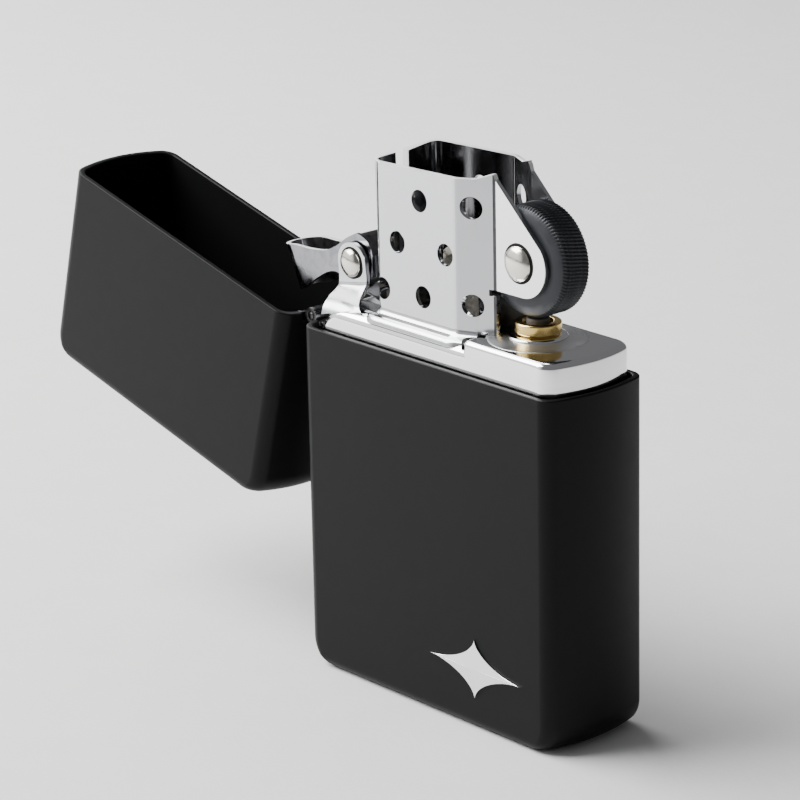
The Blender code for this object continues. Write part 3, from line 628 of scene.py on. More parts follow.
def build_case_and_lid():
    build_half("case", cup("case_shell", 0.0, CASE_HEIGHT, 1, CASE_CORNER_RADIUS), 1, (0, 2, 4), "case_body")
    half = HINGE_SPAN / 2
    profile = [(0.0, half), (0.28 * MM, half), (HINGE_PIN_RADIUS, half - 0.12 * MM)]
    profile += [(r, -h) for r, h in reversed(profile)]
    pin = turned("hinge_wire", profile, DARK_STEEL_AND_SHADE, 32, centre=(HINGE_X, 0.0, HINGE_Z), axis="Y")
    stands_for(smooth(pin), "case", "hinge_steel", "hinge_pin")
    rim = CASE_HEIGHT + SHUT_LINE
    lid = cup("lid_cover", rim + LID_HEIGHT, rim, -1, LID_CORNER_RADIUS)
    build_half("lid", lid, -1, (1, 3), "lid_shell")


def build_emblem():
    """A raised four-pointed spark: a thin plate whose faces rise to a ridge along each ray."""
    low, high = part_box("emblem")
    centre = (low + high) / 2
    reach, rise = (high.x - low.x) / 2, (high.z - low.z) / 2
    power = 3.2
    rings = []
    for share, y in ((1.0, high.y), (1.0, low.y + 0.16 * MM), (0.985, low.y + 0.145 * MM)):
        ring = []
        for angle in around(96):
            c, s = math.cos(angle), math.sin(angle)
            x = reach * share * math.copysign(abs(c) ** power, c)
            z = rise * share * math.copysign(abs(s) ** power, s)
            ring.append((centre.x + x, y, centre.z + z))
        rings.append(ring)
    spark = loft("spark_badge", rings + [[(centre.x, low.y, centre.z)]], BADGE_AND_SHEEN)
    crease(spark, 8)
    stands_for(spark, "case", "polished_metal", "emblem")


# ---------- insert


def plateau():
    """The raised end of the can's top, notched round the windguard's throat."""
    levels = [(0.3, 36.4), (0.05, 36.5), (0.0, 37.3), (-0.012, 37.6), (-0.012, 38.2), (-0.012, 38.95)]
    for angle in quarter(9)[1:]:
        levels.append((0.6 * (1 - math.cos(angle)) - 0.01, 38.95 + 0.6 * math.sin(angle)))
    rings = []
    for inset, z in scaled(levels):
        half, left = INSERT_HALF_DEPTH - inset, PLATEAU_LEFT + inset
        outline = bowed_outline(left, INSERT_RIGHT - inset, half, z)
        throat = 7.15 * MM + inset
        corners = [(left + 3 * MM, half), (left, half), (left, 4.2 * MM - inset / 2)]
        corners += [(throat, 3.2 * MM), (throat, 0.0)]
        lobe = fillet(corners, mm(0.7, 0.5, 0.8), 6)[1:-1]
        lobe += [(x, -y) for x, y in lobe[::-1]]
        rings.append(outline[: len(outline) // 2] + [(x, y, z) for x, y in lobe])
    return loft("plateau", rings, CHROME)


def wall_section(inset, z):
    """The can's level section where its walls are straight."""
    return bowed_outline(INSERT_LEFT + inset, INSERT_RIGHT - inset, INSERT_HALF_DEPTH - inset, z)


def shoulder_section(inset, drop):
    """The can's level section this far below its top, where the walls round over into it."""
    corner, edge = INSERT_HINGE_CORNER_RADIUS - inset, INSERT_EDGE_RADIUS - inset
    side = inset + rounding(edge, drop)
    left = INSERT_LEFT + inset + rounding(corner, drop)
    return bowed_outline(left, INSERT_RIGHT - side, INSERT_HALF_DEPTH - side, INSERT_TOP - inset - drop)


def gap_top(x, y):
    """The top of the strip of painted shadow at the raised end's foot, lower where it runs out over the
    shoulder.
    """
    return 39.42 * MM - 0.4 * MM * ramp(abs(y), 4.8 * MM, 5.5 * MM)


def build_can():
    """The drawn can: open below, with a raised end, a boss round the flint tube and a hole for the wick."""
    lip = 0.12 * MM
    outer = []
    for a in quarter(3):
        outer.append(wall_section(lip * (1 - math.sin(a)), INSERT_BOTTOM + lip * (1 - math.cos(a))))
    corner, edge = INSERT_HINGE_CORNER_RADIUS, INSERT_EDGE_RADIUS
    drops = [corner - (corner - edge) * i / 8 for i in range(8)]
    drops += [edge * (1 - math.sin(a)) for a in quarter(14)]
    outer += [shoulder_section(0.0, drop) for drop in drops]
    inner = [shoulder_section(INSERT_WALL, drop) for drop in mm(0.0, 0.05, 0.15, 0.3, 0.5, 0.7, 1.2, 2.2)]
    inner.append(wall_section(INSERT_WALL, INSERT_BOTTOM + lip))
    inner.append(wall_section(INSERT_WALL - lip, INSERT_BOTTOM))
    can = loft("insert_shell", outer[::-1] + inner[::-1], CHROME)
    raised = plateau()
    for sheet in (can, raised):
        cut(sheet, cylinder("tube_hole", (FLINT_X, 0.0, INSERT_TOP), 2.0 * MM, 4 * MM))
    cut(can, cylinder("wick_hole", (WICK_X, 0.0, INSERT_TOP), 2.1 * MM, 4 * MM))
    ease(can, 0.05 * MM, angle=60)
    ease(raised, 0.04 * MM, angle=60)
    merge(can, raised)
    disc = [(1.8, 38.4), (1.8, 39.98), (1.88, 40.1), (2.1, 40.13), (2.5, 40.12), (2.76, 40.06), (2.9, 39.95)]
    disc += [(2.92, 39.88), (2.84, 39.82), (2.5, 39.78), (2.1, 38.4)]
    flare = [(2.2, 38.4), (2.2, 39.84), (2.7, 39.84), (2.95, 39.82), (3.2, 39.78), (3.5, 39.73), (3.9, 39.67)]
    flare += [(4.3, 39.62), (4.7, 39.575), (5.1, 39.53), (5.1, 39.3), (2.4, 38.4)]
    for name, profile, looks in (("boss", disc, CHROME), ("flare", flare, DULL)):
        ring = turned(name, scaled(profile), looks, 96, closed=True, centre=(FLINT_X, 0.0, 0.0))
        merge(can, smooth(ring))
    # strips of painted shadow along the raised end's foot
    line = [(5.5, 5.3), (5.1, 5.2), (4.92, 4.9), (4.92, 4.5), (5.1, 4.1), (5.8, 3.72), (6.6, 3.3)]
    for side in (-1, 1):
        gap = flow([mm(x, side * y) for x, y in line], 5)
        merge(can, ribbon("gap", gap, lambda x, y: INSERT_TOP - 0.3 * MM, gap_top, 0.5 * MM, GAP_SHADOW))
    stands_for(can, "insert", "chrome", "insert_can")


def upright(x, y, z):
    return x, y, z


def ribbon(name, path, bottom, top, thickness, looks=None, bend=upright):
    """Upright sheet along a level path. bottom and top are functions of (x, y); bend moves each corner."""
    half = thickness / 2
    rings = []
    for i, (x, y) in enumerate(path):
        before = Vector(path[i]) - Vector(path[max(i - 1, 0)])
        after = Vector(path[min(i + 1, len(path) - 1)]) - Vector(path[i])
        before, after = (before or after).normalized(), (after or before).normalized()
        along = (before + after).normalized()
        spread = half / max(along.dot(before), 0.5)
        side = Vector((-along.y, along.x)) * spread
        a, b = (x + side.x, y + side.y), (x - side.x, y - side.y)
        ring = [(*a, bottom(*a)), (*b, bottom(*b)), (*b, top(*b)), (*a, top(*a))]
        rings.append([bend(*corner) for corner in ring])
    return loft(name, rings, looks)


def chimney_side(side):
    """The path of the front (-1) or back (+1) wall's middle, from the end slot to the wheel's ear."""
    inset = SHEET / 2
    left = CHIMNEY_LEFT + inset
    deep = CHIMNEY_HALF_DEPTH - inset
    ear = EAR_OUTSIDE - inset
    radius = CHIMNEY_CORNER_RADIUS - inset
    slot_edge = CHIMNEY_SLOT[0] if side < 0 else CHIMNEY_SLOT[1]
    path = [(left, slot_edge)]
    path += [(x, side * y) for x, y in arc(left + radius, deep - radius, radius, 180, 90, 10)]
    bends = [path[-1], (CHIMNEY_BEND_X, side * deep), (4.9 * MM, side * (deep + (ear - deep) * 0.52))]
    bends += [(CHIMNEY_THROAT_X - 0.05 * MM, side * (ear + 0.02 * MM)), (14.2 * MM, side * ear)]
    path += fillet(bends, mm(1.6, 4, 1.3))[1:]
    return path


def ramp(value, start, end):
    """A smooth step from 0 at start to 1 at end."""
    share = min(max((value - start) / (end - start), 0.0), 1.0)
    return share * share * (3 - 2 * share)


def chimney_top(x, y):
    """The wall's top edge: it climbs a little towards the wheel and ends in a tip at the throat."""
    climb = 0.35 * MM * min(max((x + 9.0 * MM) / (11.5 * MM), 0.0), 1.0)
    return CHIMNEY_TOP + CHIMNEY_TOP_RISE * y + climb + 0.6 * MM * ramp(x, 4.6 * MM, 6.6 * MM)


def lean_tab(x, y, z):
    """The end tab beside the slot stands out a little at its top."""
    share = (z - FOOT_BOTTOM) / (CHIMNEY_TOP - FOOT_BOTTOM) if x < -7 * MM else 0.0
    return x + CHIMNEY_TAB_LEAN * share * ramp(y, -4.2 * MM, -3.4 * MM), y, z


def foot_outline(left, right, deep, radius):
    """The foot's outer edge over the insert's top, with round corners."""
    points = []
    for x, y, start in ((right, 1, 0), (left, 1, 90), (left, -1, 180), (right, -1, 270)):
        inside = x - math.copysign(radius, x)
        points += arc(inside, y * (deep - radius), radius, start, start + 90, 8)
    return points


def ear_trim():
    """What is cut from a wall past the throat, so that a rounded triangular ear is left."""
    ear = [(6.35, 60), (6.35, 55.9), (6.5, 55.84), (6.64, 55.72), (6.76, 55.55), (6.84, 55.35), (6.95, 55.1)]
    ear = scaled(ear)
    ear += arc(FLINT_X + 0.55 * MM, 47.4 * MM, 3.2 * MM, 38, -90, 28)
    ear += scaled([(6.2, 44.2), (6.2, 43.6), (16, 43.6), (16, 60)])
    return prism("ear_trim", ear, -6 * MM, 6 * MM)


def cam_ear(side):
    """A cam ear and its skirt, one bent sheet from the round top down over the insert's shoulder."""
    half, reach = SHEET / 2, CAM_EAR_RADIUS
    stations = []
    for angle in [math.radians(86 - 86 * i / 12) for i in range(13)]:
        width, z = reach * math.cos(angle), CAM_Z + reach * math.sin(angle)
        stations.append([Vector((x, CAM_EAR_OUTSIDE - half, z)) for x in (CAM_X - width, CAM_X + width)])
    first, last = (CAM_X - reach) / MM, (CAM_X + reach) / MM
    left = [(first, 2.66, 41.3), (first, 2.68, 40.55), (first, 2.73, 40.2), (first, 3.0, 39.85)]
    left += [(-16.25, 3.5, 39.5), (-16.2, 4.1, 39.15), (-16.1, 4.7, 38.72), (-16.0, 5.15, 38.2)]
    left += [(-15.9, 5.42, 37.6)]
    right = [(last, 2.66, 41.6), (last, 2.68, 41.25), (last, 2.73, 40.95), (last, 2.95, 40.6)]
    right += [(-11.9, 3.35, 40.2), (-11.7, 3.85, 39.82), (-11.3, 4.4, 39.5), (-10.8, 4.9, 39.28)]
    right += [(-10.3, 5.25, 39.05)]
    for pair in zip(left, right):
        stations.append([Vector(mm(*point)) - Vector((0.0, half / 2, 0.0)) for point in pair])
    across = 6
    rings = []
    for i, pair in enumerate(stations):
        before, after = stations[max(i - 1, 0)], stations[min(i + 1, len(stations) - 1)]
        outer, inner = [], []
        for share in [k / across for k in range(across + 1)]:
            point = pair[0].lerp(pair[1], share)
            along = after[0].lerp(after[1], share) - before[0].lerp(before[1], share)
            out = Vector((0.0, -along.z, along.y)).normalized() * half
            outer.append(point + out)
            inner.append(point - out)
        rings.append([(p.x, side * p.y, p.z) for p in outer + inner[::-1]])
    return loft("cam_ear", rings)


def painted_bend_shade(at, facing):
    """True for the hollow of the bend along a wall's foot, darkened there as painted shade."""
    return -8 < at.x < 2.5 and 4.55 < abs(at.y) < 5.0 and facing.z > 0.6


def wall_fillet(side):
    """The bend at a wall's foot, and the flange that rolls from it over the insert's shoulder."""
    profile = [(-0.04, 1.3), (-0.03, 1.1), (-0.005, 0.95)] + arc(0.8, 0.8, 0.8, 180, 262, 8)
    profile += [(0.95, 0.0), (1.08, -0.06), (1.2, -0.16), (1.3, -0.3), (1.37, -0.46), (1.41, -0.62)]
    profile += [(1.42, -0.78), (1.22, -0.8), (1.2, -0.62), (1.1, -0.42), (0.95, -0.27), (0.6, -0.2)]
    profile += [(-0.25, -0.2), (-0.25, 1.1)]
    path = [(x, abs(y)) for x, y in chimney_side(1) if x < 6.0 * MM]
    rings = []
    for i, point in enumerate(path):
        along = (Vector(path[min(i + 1, len(path) - 1)]) - Vector(path[max(i - 1, 0)])).normalized()
        out = Vector((-along.y, along.x))
        ring = []
        for distance, rise in scaled(profile):
            at = Vector(point) + out * (SHEET / 2 + distance)
            ring.append((at.x, side * at.y, FOOT_TOP - 0.3 * MM + rise))
        rings.append(ring)
    return repaint(smooth(loft("wall_fillet", rings, SATIN)), DARK_STEEL_AND_SHADE, painted_bend_shade)


def wind_holes():
    """Seven holes in each side, in three rows; two of them are in the slanted wall."""
    places = [(-2.15, 51.7), (-5.5, 46.95), (1.5, 47.0), (-1.8, 42.1), (-7.8, 41.8)]
    places += [(4.55, 52.1), (4.6, 42.4)]
    return [cylinder("hole", mm(x, 0.0, z), WIND_HOLE_RADIUS, 20 * MM, "Y", 36) for x, z in places]


def inside_guard(at, facing):
    """True for the guard's inner faces and for the bores of its holes."""
    if at.z < FOOT_TOP / MM + 0.1 or not -9.2 < at.x < 3.4:
        return False
    if at.x < -8.3 and abs(at.y) < 3.6:
        return facing.x > 0.3
    return inward(at, facing) > 0.25 or (abs(facing.y) < 0.2 and at.z < 54)


def facing_the_wheel(at, facing):
    """True for the bridge's side towards the wheel."""
    return facing.x > 0.5 and 6.6 < at.x < 6.7 and abs(at.y) < 2.3


def on_outside(at, facing):
    """True for the outer faces of the slanted walls and the wheel's ears."""
    return at.z > FOOT_TOP / MM + 0.5 and inward(at, facing) < -0.5


def build_chimney():
    """The windguard, one pressed sheet: foot, pierced walls, and ears for the wheel and the cam."""
    outline = foot_outline(*mm(-15.2, 5.0, 4.6, 1.2))
    foot = prism("windguard", outline, FOOT_BOTTOM, FOOT_TOP - 0.22 * MM, "Z", SATIN)
    base = FOOT_BOTTOM + 0.1 * MM
    for side, bend in ((-1, lean_tab), (1, upright)):
        wall = ribbon("wall", chimney_side(side), lambda x, y: base, chimney_top, SHEET, bend=bend)
        cut(wall, ear_trim(), box("under_ear", mm(6.95, -6, 38), mm(20, 6, 44.2)))
        join(foot, wall, cam_ear(side))
    join(
        foot,
        box("bridge", mm(6.2, -2.6, 38.95), mm(6.62, 2.6, 43.2)),
        box("tongue", mm(4.5, -2.5, 38.97), mm(6.5, 2.5, 39.35)),
    )
    well = [(-8.6, -3.7), (2.7, -3.7), (4.9, -2.8), (4.9, 2.8), (2.7, 3.7), (-8.6, 3.7)]
    slot_start, slot_end = CHIMNEY_SLOT
    cut(
        foot,
        box("cam_window", mm(-18, -2.45, 38), mm(-9.35, 2.45, 41)),
        prism("well", scaled(well), 38 * MM, 40.5 * MM, "Z"),
        box("end_slot", (-10.1 * MM, slot_start, 40 * MM), (-8.1 * MM, slot_end, 60 * MM)),
    )
    cut(foot, *wind_holes())
    cut(foot, pin_hole(WHEEL_X, WHEEL_Z, 0.98 * MM), pin_hole(CAM_X, CAM_Z, 0.83 * MM))
    ease(foot, 0.13 * MM, angle=45, segments=3)
    # painted shade: the guard's inner faces and hole bores take the darker chrome
    repaint(foot, SHADED, inside_guard)
    # painted shade: the slanted walls' outer faces and the cam ear's skirt take the darker satin
    repaint(foot, SHADED_SATIN, lambda at, facing: on_outside(at, facing) and 3.0 < at.x < 6.5)
    repaint(foot, SHADED_SATIN, lambda at, facing: at.x < -9.3 and at.z < 41.2 and facing.z > 0.25)
    # painted highlight: the outer faces of the wheel's ears take the brighter polished chrome
    repaint(foot, BADGE_AND_SHEEN, lambda at, facing: on_outside(at, facing) and at.x > 7.0)
    # painted highlight on the upward faces of the walls' top edges
    repaint(foot, LIT_EDGE, lambda at, facing: facing.z > 0.35 and at.z > 54.2)
    # painted shade: the bridge's side towards the wheel is darkened
    repaint(foot, DARK_STEEL_AND_SHADE, facing_the_wheel)
    # painted shade: the crease at the throat, where the slanted wall meets the ear, is darkened
    repaint(foot, DARK_STEEL_AND_SHADE, lambda at, facing: 6.5 < at.x < 6.98 and abs(facing.y) > 0.3)
    merge(foot, wall_fillet(-1), wall_fillet(1))
    stands_for(foot, "insert", "chrome", "chimney")


def build_rivet(name, node, x, z, shank, outside, head, gap):
    """A pin along Y through two ears, with a domed head on each side and a ring of painted shadow round it.
    """
    seat = outside + 0.1 * MM
    profile = [(head * math.sin(a), seat + 0.42 * head * math.cos(a)) for a in quarter(12)]
    profile += [(head - 0.06 * MM, seat - 0.02 * MM), (shank, seat - 0.02 * MM)]
    profile += [(r, -h) for r, h in reversed(profile)]
    pin = smooth(turned(name, profile, NICKEL, 48, centre=(x, 0.0, z), axis="Y"))
    for side in (-1, 1):
        low, high = side * (outside - 0.03 * MM), side * (outside + 0.035 * MM)
        ring = [(head - 0.1 * MM, low), (head + gap, low), (head + gap, high), (head - 0.1 * MM, high)]
        merge(pin, turned("ring", ring, GAP_SHADOW, 48, closed=True, centre=(x, 0.0, z), axis="Y"))
    stands_for(pin, "insert", "nickel", node)


def lean_bow(x, y, z):
    """The lever's bow leans out at its top; its cheeks stand upright towards the pin."""
    return x + CAM_LEAN * (z - CAM_LEAN_Z) * (1 - ramp(x, -23.4 * MM, -17.5 * MM)), y, z


def build_cam():
    """The sprung lever that snaps the lid: a hairpin of sheet, with a head round its pin."""
    y = CAM_OUTSIDE - SHEET / 2
    near = CAM_X + CAM_HEAD_RADIUS - SHEET / 2
    straight = [near - (near + 21.5 * MM) * i / 12 for i in range(13)]
    path = [(x, -y) for x in straight]
    path += arc(CAM_TIP_X + CAM_OUTSIDE, 0.0, y, 270, 90, 20)
    path += [(x, y) for x in reversed(straight)]
    lever = ribbon("cam_arm", path, lambda x, y: 36 * MM, lambda x, y: 48 * MM, SHEET, STEEL, bend=lean_bow)
    web = arc(CAM_X, CAM_Z, CAM_HEAD_RADIUS, -38, 86, 20)
    web += arc(CAM_X, CAM_Z, CAM_HEAD_RADIUS - SHEET, 86, -38, 20)
    join(lever, prism("cam_web", web, -y, y))
    upper = [(-14.2, 45.75), (-15.6, 45.05), (-16.5, 44.4), (-17.5, 43.75), (-19.2, 43.05), (-21.7, 42.75)]
    upper += [(-24.0, 42.7), (-27.4, 42.15)]
    lower = [(-27.4, 38.0), (-24.2, 38.0), (-22.8, 38.25), (-21.4, 39.2), (-20.1, 40.1), (-18.6, 40.9)]
    lower += [(-17.3, 41.15), (-16.1, 40.75)]
    side = arc(CAM_X, CAM_Z, CAM_HEAD_RADIUS, -132, 92, 36)
    side += scaled(flow(upper)[1:] + flow(lower)[:-1])
    combine(lever, [prism("cam_side", side, -4 * MM, 4 * MM)], "INTERSECT")
    cut(lever, pin_hole(CAM_X, CAM_Z, 0.83 * MM))
    ease(lever, 0.1 * MM, angle=45, segments=3)
    # painted shade: the lever's inner faces are darkened
    repaint(lever, DARK_STEEL_AND_SHADE, lambda at, facing: inward(at, facing) > 0.3)
    # painted highlight on the upward faces of the lever's top edge
    repaint(lever, LIT_EDGE, lambda at, facing: facing.z > 0.45 and at.z > 41)
    # painted shade: the head's web between the cheeks is darkened
    repaint(lever, DARK_STEEL_AND_SHADE, lambda at, facing: at.x > -14.4 and abs(at.y) < 1.6)
    stands_for(lever, "cam", "spring_steel", "cam_lever")


def build_cam_spring():
    """The leaf spring that lies under the cam's head, and the rivet that holds it."""
    path = [(-9.7, 39.15), (-11.1, 39.15), (-12.3, 39.4), (-13.5, 39.62), (-15.0, 39.66), (-16.6, 39.55)]
    path = flow(path)
    half = 0.12 * MM
    rings = []
    for i, (x, z) in enumerate(scaled(path)):
        from_end = min(i, len(path) - 1 - i)
        w = (1.5 - 0.5 * max(0.0, 1 - from_end / 3) ** 2) * MM
        rings.append([(x, -w, z - half), (x, w, z - half), (x, w, z + half), (x, -w, z + half)])
    spring = loft("cam_leaf_spring", rings, STEEL)
    cut(spring, cylinder("rivet_hole", mm(-10.45, 0.0, 39.15), 0.5 * MM, 2 * MM, steps=24))
    ease(spring, 0.04 * MM)
    stands_for(spring, "insert", "spring_steel", "cam_spring")
    profile = [(0.0, 39.8), (0.3, 39.78), (0.55, 39.69), (0.74, 39.55), (0.85, 39.37), (0.4, 39.37)]
    profile += [(0.4, 38.95), (0.0, 38.95)]
    place = mm(-10.45, 0.0, 0.0)
    spun("leaf_spring_rivet", profile, NICKEL, "insert", "nickel", "cam_spring_rivet", 32, centre=place)


# ---------- wheel and flint


def build_wheel():
    """The striking wheel: a broad rim cut with fine slanted teeth between two smooth coned sides."""
    side = [(0.98, 1.5), (2.15, 1.5), (2.25, 1.53), (2.55, 1.94), (2.65, 2.0), (4.2, 2.0), (4.4, 1.97)]
    side += [(4.75, 1.86), (5.1, 1.73), (5.3, 1.63), (5.4, 1.55), (5.46, 1.5)]
    rim = [(WHEEL_RADIUS / MM, y) for y in (1.38, 1.0, 0.5, 0.0, -0.5, -1.0, -1.38)]
    per_tooth = 5
    steps = WHEEL_TEETH * per_tooth
    rings = []
    for radius, y in scaled(side + rim + [(r, -y) for r, y in reversed(side)]):
        toothed = min(1.0, max(0.0, (radius - 5.2 * MM) / (0.2 * MM)))
        ring = []
        for i in range(steps):
            angle = 2 * math.pi * i / steps
            phase = (i / per_tooth + 0.5 * y / MM) % 1.0
            gap = min(phase / 0.35, (1.0 - phase) / 0.65)
            r = radius - toothed * TOOTH_DEPTH * (1.0 - gap)
            ring.append((WHEEL_X + r * math.cos(angle), y, WHEEL_Z + r * math.sin(angle)))
        rings.append(ring)
    wheel = loft("knurled_wheel", rings, WHEEL, closed=True)
    crease(wheel, 38)
    stands_for(wheel, "wheel", "wheel_steel", "striker_wheel")


def spun(name, profile, looks, body, slot, node, steps=40, closed=False, centre=(FLINT_X, 0.0, 0.0)):
    """A smoothly turned piece, from its profile in mm."""
    obj = turned(name, scaled(profile), looks, steps, closed, centre)
    stands_for(smooth(obj), body, slot, node)


def build_flint_parts():
    """Brass tube with its collar, flint, follower, coil spring and the slotted screw."""
    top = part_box("flint_tube")[1].z / MM
    tube = [(2.2, top - 0.04), (2.3, top - 0.14), (2.3, top - 0.2), (2.3, 40.5), (2.3, 40.42), (2.24, 40.3)]
    tube += [(2.1, 40.22), (1.7, 40.2), (1.7, 5.3), (1.6, 5.2), (1.4, 5.2), (1.3, 5.3), (1.3, top - 0.4)]
    tube += [(1.38, top - 0.2), (1.52, top - 0.03), (1.62, top), (2.1, top)]
    spun("brass_tube", tube, BRASS, "insert", "brass", "flint_tube", 64, closed=True)

    low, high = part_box("flint")
    radius, top, bottom = (high.x - low.x) / 2 / MM, high.z / MM, low.z / MM
    stick = [(0.0, top - 0.16), (0.5, top - 0.12), (0.85, top - 0.03), (1.0, top), (1.1, top - 0.04)]
    stick += [(radius, top - 0.14), (radius, bottom + 0.1), (radius - 0.1, bottom), (0.0, bottom)]
    spun("flint_stick", stick, FLINT, "flint", "flint_alloy", "flint")

    low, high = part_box("flint_follower")
    top, bottom = high.z / MM, low.z / MM
    plug = [(0.0, top), (1.0, top), (1.08, top - 0.04), (1.12, top - 0.12), (1.12, top - 0.84)]
    plug += [(1.04, top - 0.92), (0.6, top - 1.08), (0.55, top - 1.14), (0.55, bottom + 0.12)]
    plug += [(0.45, bottom), (0.0, bottom)]
    spun("follower_plug", plug, BRASS, "flint", "brass", "flint_follower")

    low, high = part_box("flint_spring")
    spring = stands_for(coil("flint_coil", low.z, high.z), "spring", "spring_steel", "flint_spring")
    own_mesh(spring)

    screw = [(0.0, 9.0), (0.6, 9.0), (0.75, 8.85), (0.75, 8.22)]
    for z in [8.0 - 0.2 * i for i in range(17)]:
        screw += [(1.2, z), (1.08, z - 0.1)]
    screw += [(1.15, 4.6), (2.15, 4.6), (2.26, 4.56), (2.3, 4.45), (2.3, 3.3), (2.24, 3.1), (2.1, 3.0)]
    screw += [(0.0, 3.0)]
    knob = turned("slotted_screw", scaled(screw), BRASS, centre=(FLINT_X, 0.0, 0.0))
    cut(knob, box("slot", mm(7, -0.35, 2.5), mm(13, 0.35, 3.6)))
    ease(knob, 0.05 * MM, angle=50)
    stands_for(knob, "screw", "brass", "flint_screw")


def coil(name, bottom, top):
    """A coil spring of round wire about the flint's axis."""
    radius, wire, turns, per_turn = 0.92 * MM, 0.16 * MM, 15, 28
    low, high = bottom + wire, top - wire
    count = turns * per_turn
    rings = []
    for i in range(count + 1):
        angle = 2 * math.pi * i / per_turn
        out = Vector((math.cos(angle), math.sin(angle), 0.0))
        centre = Vector((FLINT_X, 0.0, low + (high - low) * i / count)) + out * radius
        ring = []
        for a in around(10):
            ring.append(centre + out * (wire * math.cos(a)) + Vector((0.0, 0.0, wire * math.sin(a))))
        rings.append(ring)
    spring = loft(name, rings, STEEL)
    spring.data.shade_smooth()
    return spring


# ---------- wick, wadding and felt


def build_wick():
    """A braided cotton wick: two sets of strands crossing over a round core, frayed at its top."""
    low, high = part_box("wick")
    radius, bottom, top = (high.x - low.x) / 2, low.z, high.z
    rows, strands, pitch = 260, 6, 7 * MM
    rings = []
    for i in range(rows + 1):
        z = bottom + (top - bottom) * i / rows
        near_end = min(1.0, (top - z) / (0.5 * MM), (z - bottom) / (0.5 * MM))
        end_round = math.sqrt(max(0.0, 1 - (1 - near_end) ** 2))
        turn = 2 * math.pi * (z - bottom) / pitch
        ring = []
        for angle in around(96):
            c, s = math.cos(angle), math.sin(angle)
            braid = max(math.cos(strands * (angle + turn)), math.cos(strands * (angle - turn)))
            hair = noise.noise(Vector((c * 3, s * 3, z / (0.4 * MM))))
            bulge = 0.86 + 0.084 * (braid - 0.4) + 0.035 * hair
            r = min(radius * bulge, radius) * (0.45 + 0.55 * end_round)
            ring.append((WICK_X + r * c, r * s, z))
        rings.append(ring)
    wick = loft("braided_wick", rings, WICK_YARN)
    wick.data.shade_smooth()
    stands_for(wick, "insert", "cotton", "wick")


def lumpy(name, low, high, seed):
    """A cotton pad: a rounded box whose faces swell and dip like packed fibre."""
    round_by, lump, depth = mm(1.8, 2.2, 0.5)
    bm = bmesh.new()
    bmesh.ops.create_cube(bm, size=1.0)
    bmesh.ops.subdivide_edges(bm, edges=bm.edges, cuts=22, use_grid_fill=True)
    centre, half = (low + high) / 2, (high - low) / 2
    core = Vector([max(h - round_by, 0.0) for h in half])
    shift = Vector((seed * 7.1, seed * 3.7, seed * 5.3))
    for vert in bm.verts:
        p = Vector([2 * c * h for c, h in zip(vert.co, half)])
        nearest = Vector([max(-c, min(c, v)) for v, c in zip(p, core)])
        out = p - nearest
        if out.length > 1e-9:
            p = nearest + out.normalized() * round_by
        wave = noise.fractal((p / lump) + shift, 1.0, 2.0, 4)
        p -= p.normalized() * depth * (0.5 - 0.5 * wave)
        vert.co = centre + p
    bmesh.ops.recalc_face_normals(bm, faces=bm.faces)
    pad = add(name, bm, COTTON)
    pad.data.shade_smooth()
    return pad


def build_filling():
    """Cotton pads packed round the wick, and the felt pad that closes the can."""
    for number in range(1, 6):
        node = f"wadding_{number}"
        pad = lumpy(f"cotton_ball_{number}", *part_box(node), number)
        stands_for(pad, "insert", "cotton", node)
    low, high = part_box("felt_pad")
    edge = 0.35 * MM
    levels = [(edge * (1 - math.sin(a)), low.z + edge * (1 - math.cos(a))) for a in quarter(3)]
    levels += [(0.0, low.z + (high.z - low.z) * t) for t in (0.35, 0.5, 0.65)]
    levels += [(edge * (1 - math.cos(a)), high.z - edge * (1 - math.sin(a))) for a in quarter(3)]
    rings = [bowed_outline(low.x + inset, high.x - inset, high.y - inset, z) for inset, z in levels]
    felt = loft("felt_sole", rings, FELT)
    cut(felt, cylinder("felt_hole", (FLINT_X, 0.0, 5 * MM), 2.6 * MM, 6 * MM))
    ease(felt, 0.2 * MM, angle=50, segments=3)
    stands_for(felt, "insert", "felt", "felt_pad")


# ---------- studio


def area_light(name, place, size, power):
    """A soft panel of light, aimed at the middle of the lighter."""
    data = bpy.data.lights.new(name, "AREA")
    data.shape = "RECTANGLE"
    data.size, data.size_y = size
    data.energy = power
    light = placed(name, data)
    light.location = place
    light.rotation_euler = (Vector((0.0, 0.0, 0.03)) - Vector(place)).to_track_quat("-Z", "Y").to_euler()


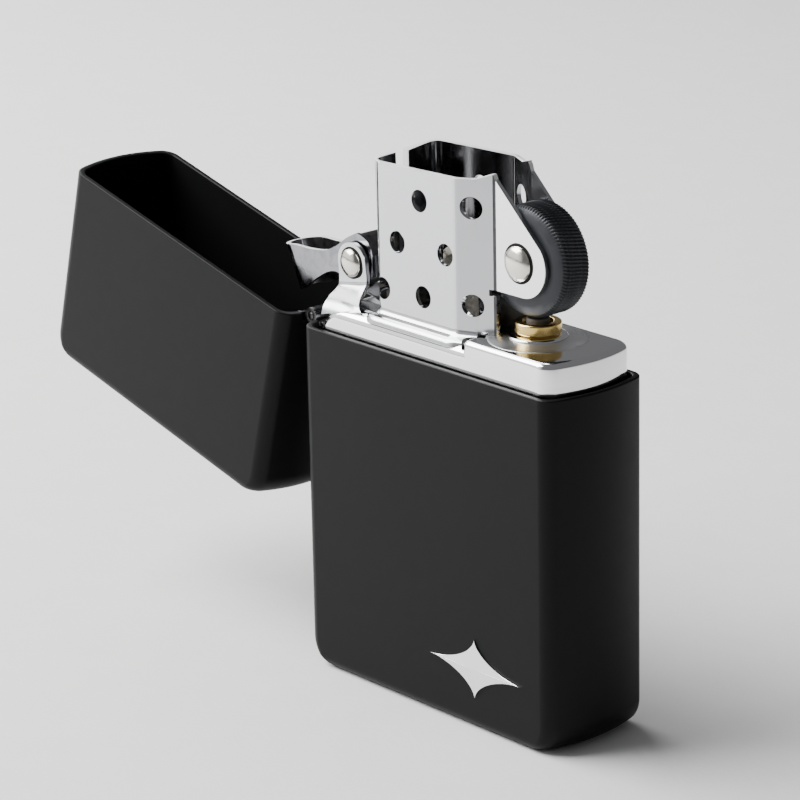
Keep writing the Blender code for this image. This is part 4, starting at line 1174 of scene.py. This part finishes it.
def build_studio():
    """A pale floor, two softboxes, and a dim room that glows at the front left."""
    bm = bmesh.new()
    bmesh.ops.create_grid(bm, x_segments=8, y_segments=8, size=3.0)
    made = finish("pale_floor", (0.8, 0.8, 0.8), roughness=0.75, specular=0.2)
    vary_colour(made, grain(made, 6.0, detail=6.0), (0.77, 0.77, 0.765), (0.83, 0.83, 0.827))
    vary_roughness(made, grain(made, 2.0), 0.7, 0.85)
    relief(made, (grain(made, 0.8, detail=4.0), 0.03))
    add("floor", bm, made)

    world = bpy.data.worlds.new("studio")
    bpy.context.scene.world = world
    world.use_nodes = True
    nodes, links = world.node_tree.nodes, world.node_tree.links
    place = nodes.new("ShaderNodeTexCoord")
    towards_glow = nodes.new("ShaderNodeVectorMath")
    towards_glow.operation = "DOT_PRODUCT"
    towards_glow.inputs[1].default_value = (-0.78, -0.59, 0.21)
    glow = nodes.new("ShaderNodeValToRGB")
    glow.color_ramp.interpolation = "EASE"
    steps = ((0.55, (0.17, 0.17, 0.175, 1.0)), (0.95, (1.6, 1.6, 1.6, 1.0)))
    for element, (position, colour) in zip(glow.color_ramp.elements, steps):
        element.position = position
        element.color = colour
    links.new(place.outputs["Generated"], towards_glow.inputs[0])
    links.new(towards_glow.outputs["Value"], glow.inputs["Fac"])
    links.new(glow.outputs["Color"], nodes["Background"].inputs["Color"])
    area_light("overhead_softbox", (-0.29, -0.2, 0.385), (0.4, 0.4), 6.8)
    area_light("side_card", (-0.43, 0.12, 0.28), (0.26, 0.3), 1.3)


def build_camera():
    """The view from above the front right, at the end of a long lens."""
    data = bpy.data.cameras.new("camera")
    data.lens = 166.3
    data.sensor_width = 36.0
    data.clip_start = 0.01
    camera = placed("camera", data)
    azimuth, elevation, roll = math.radians(49.17), math.radians(17.83), math.radians(-1.18)
    level = math.cos(elevation)
    back = Vector((math.sin(azimuth) * level, -math.cos(azimuth) * level, math.sin(elevation)))
    right = Vector((math.cos(azimuth), math.sin(azimuth), 0.0))
    up = right.cross(-back)
    side = right * math.cos(roll) + up * math.sin(roll)
    top = up * math.cos(roll) - right * math.sin(roll)
    turn = Matrix((side, top, back)).transposed().to_4x4()
    turn.translation = Vector((0.25808, -0.23206, 0.14279))
    camera.matrix_world = turn
    bpy.context.scene.camera = camera


build_camera()
build_case_and_lid()
build_emblem()
build_can()
build_chimney()
build_rivet("wheel_rivet", "wheel_axle", WHEEL_X, WHEEL_Z, 0.9 * MM, EAR_OUTSIDE, 1.75 * MM, 0.26 * MM)
build_rivet("cam_rivet", "cam_pin", CAM_X, CAM_Z, 0.75 * MM, CAM_EAR_OUTSIDE, 1.45 * MM, 0.2 * MM)
build_cam()
build_cam_spring()
build_wheel()
build_flint_parts()
build_wick()
build_filling()
build_studio()
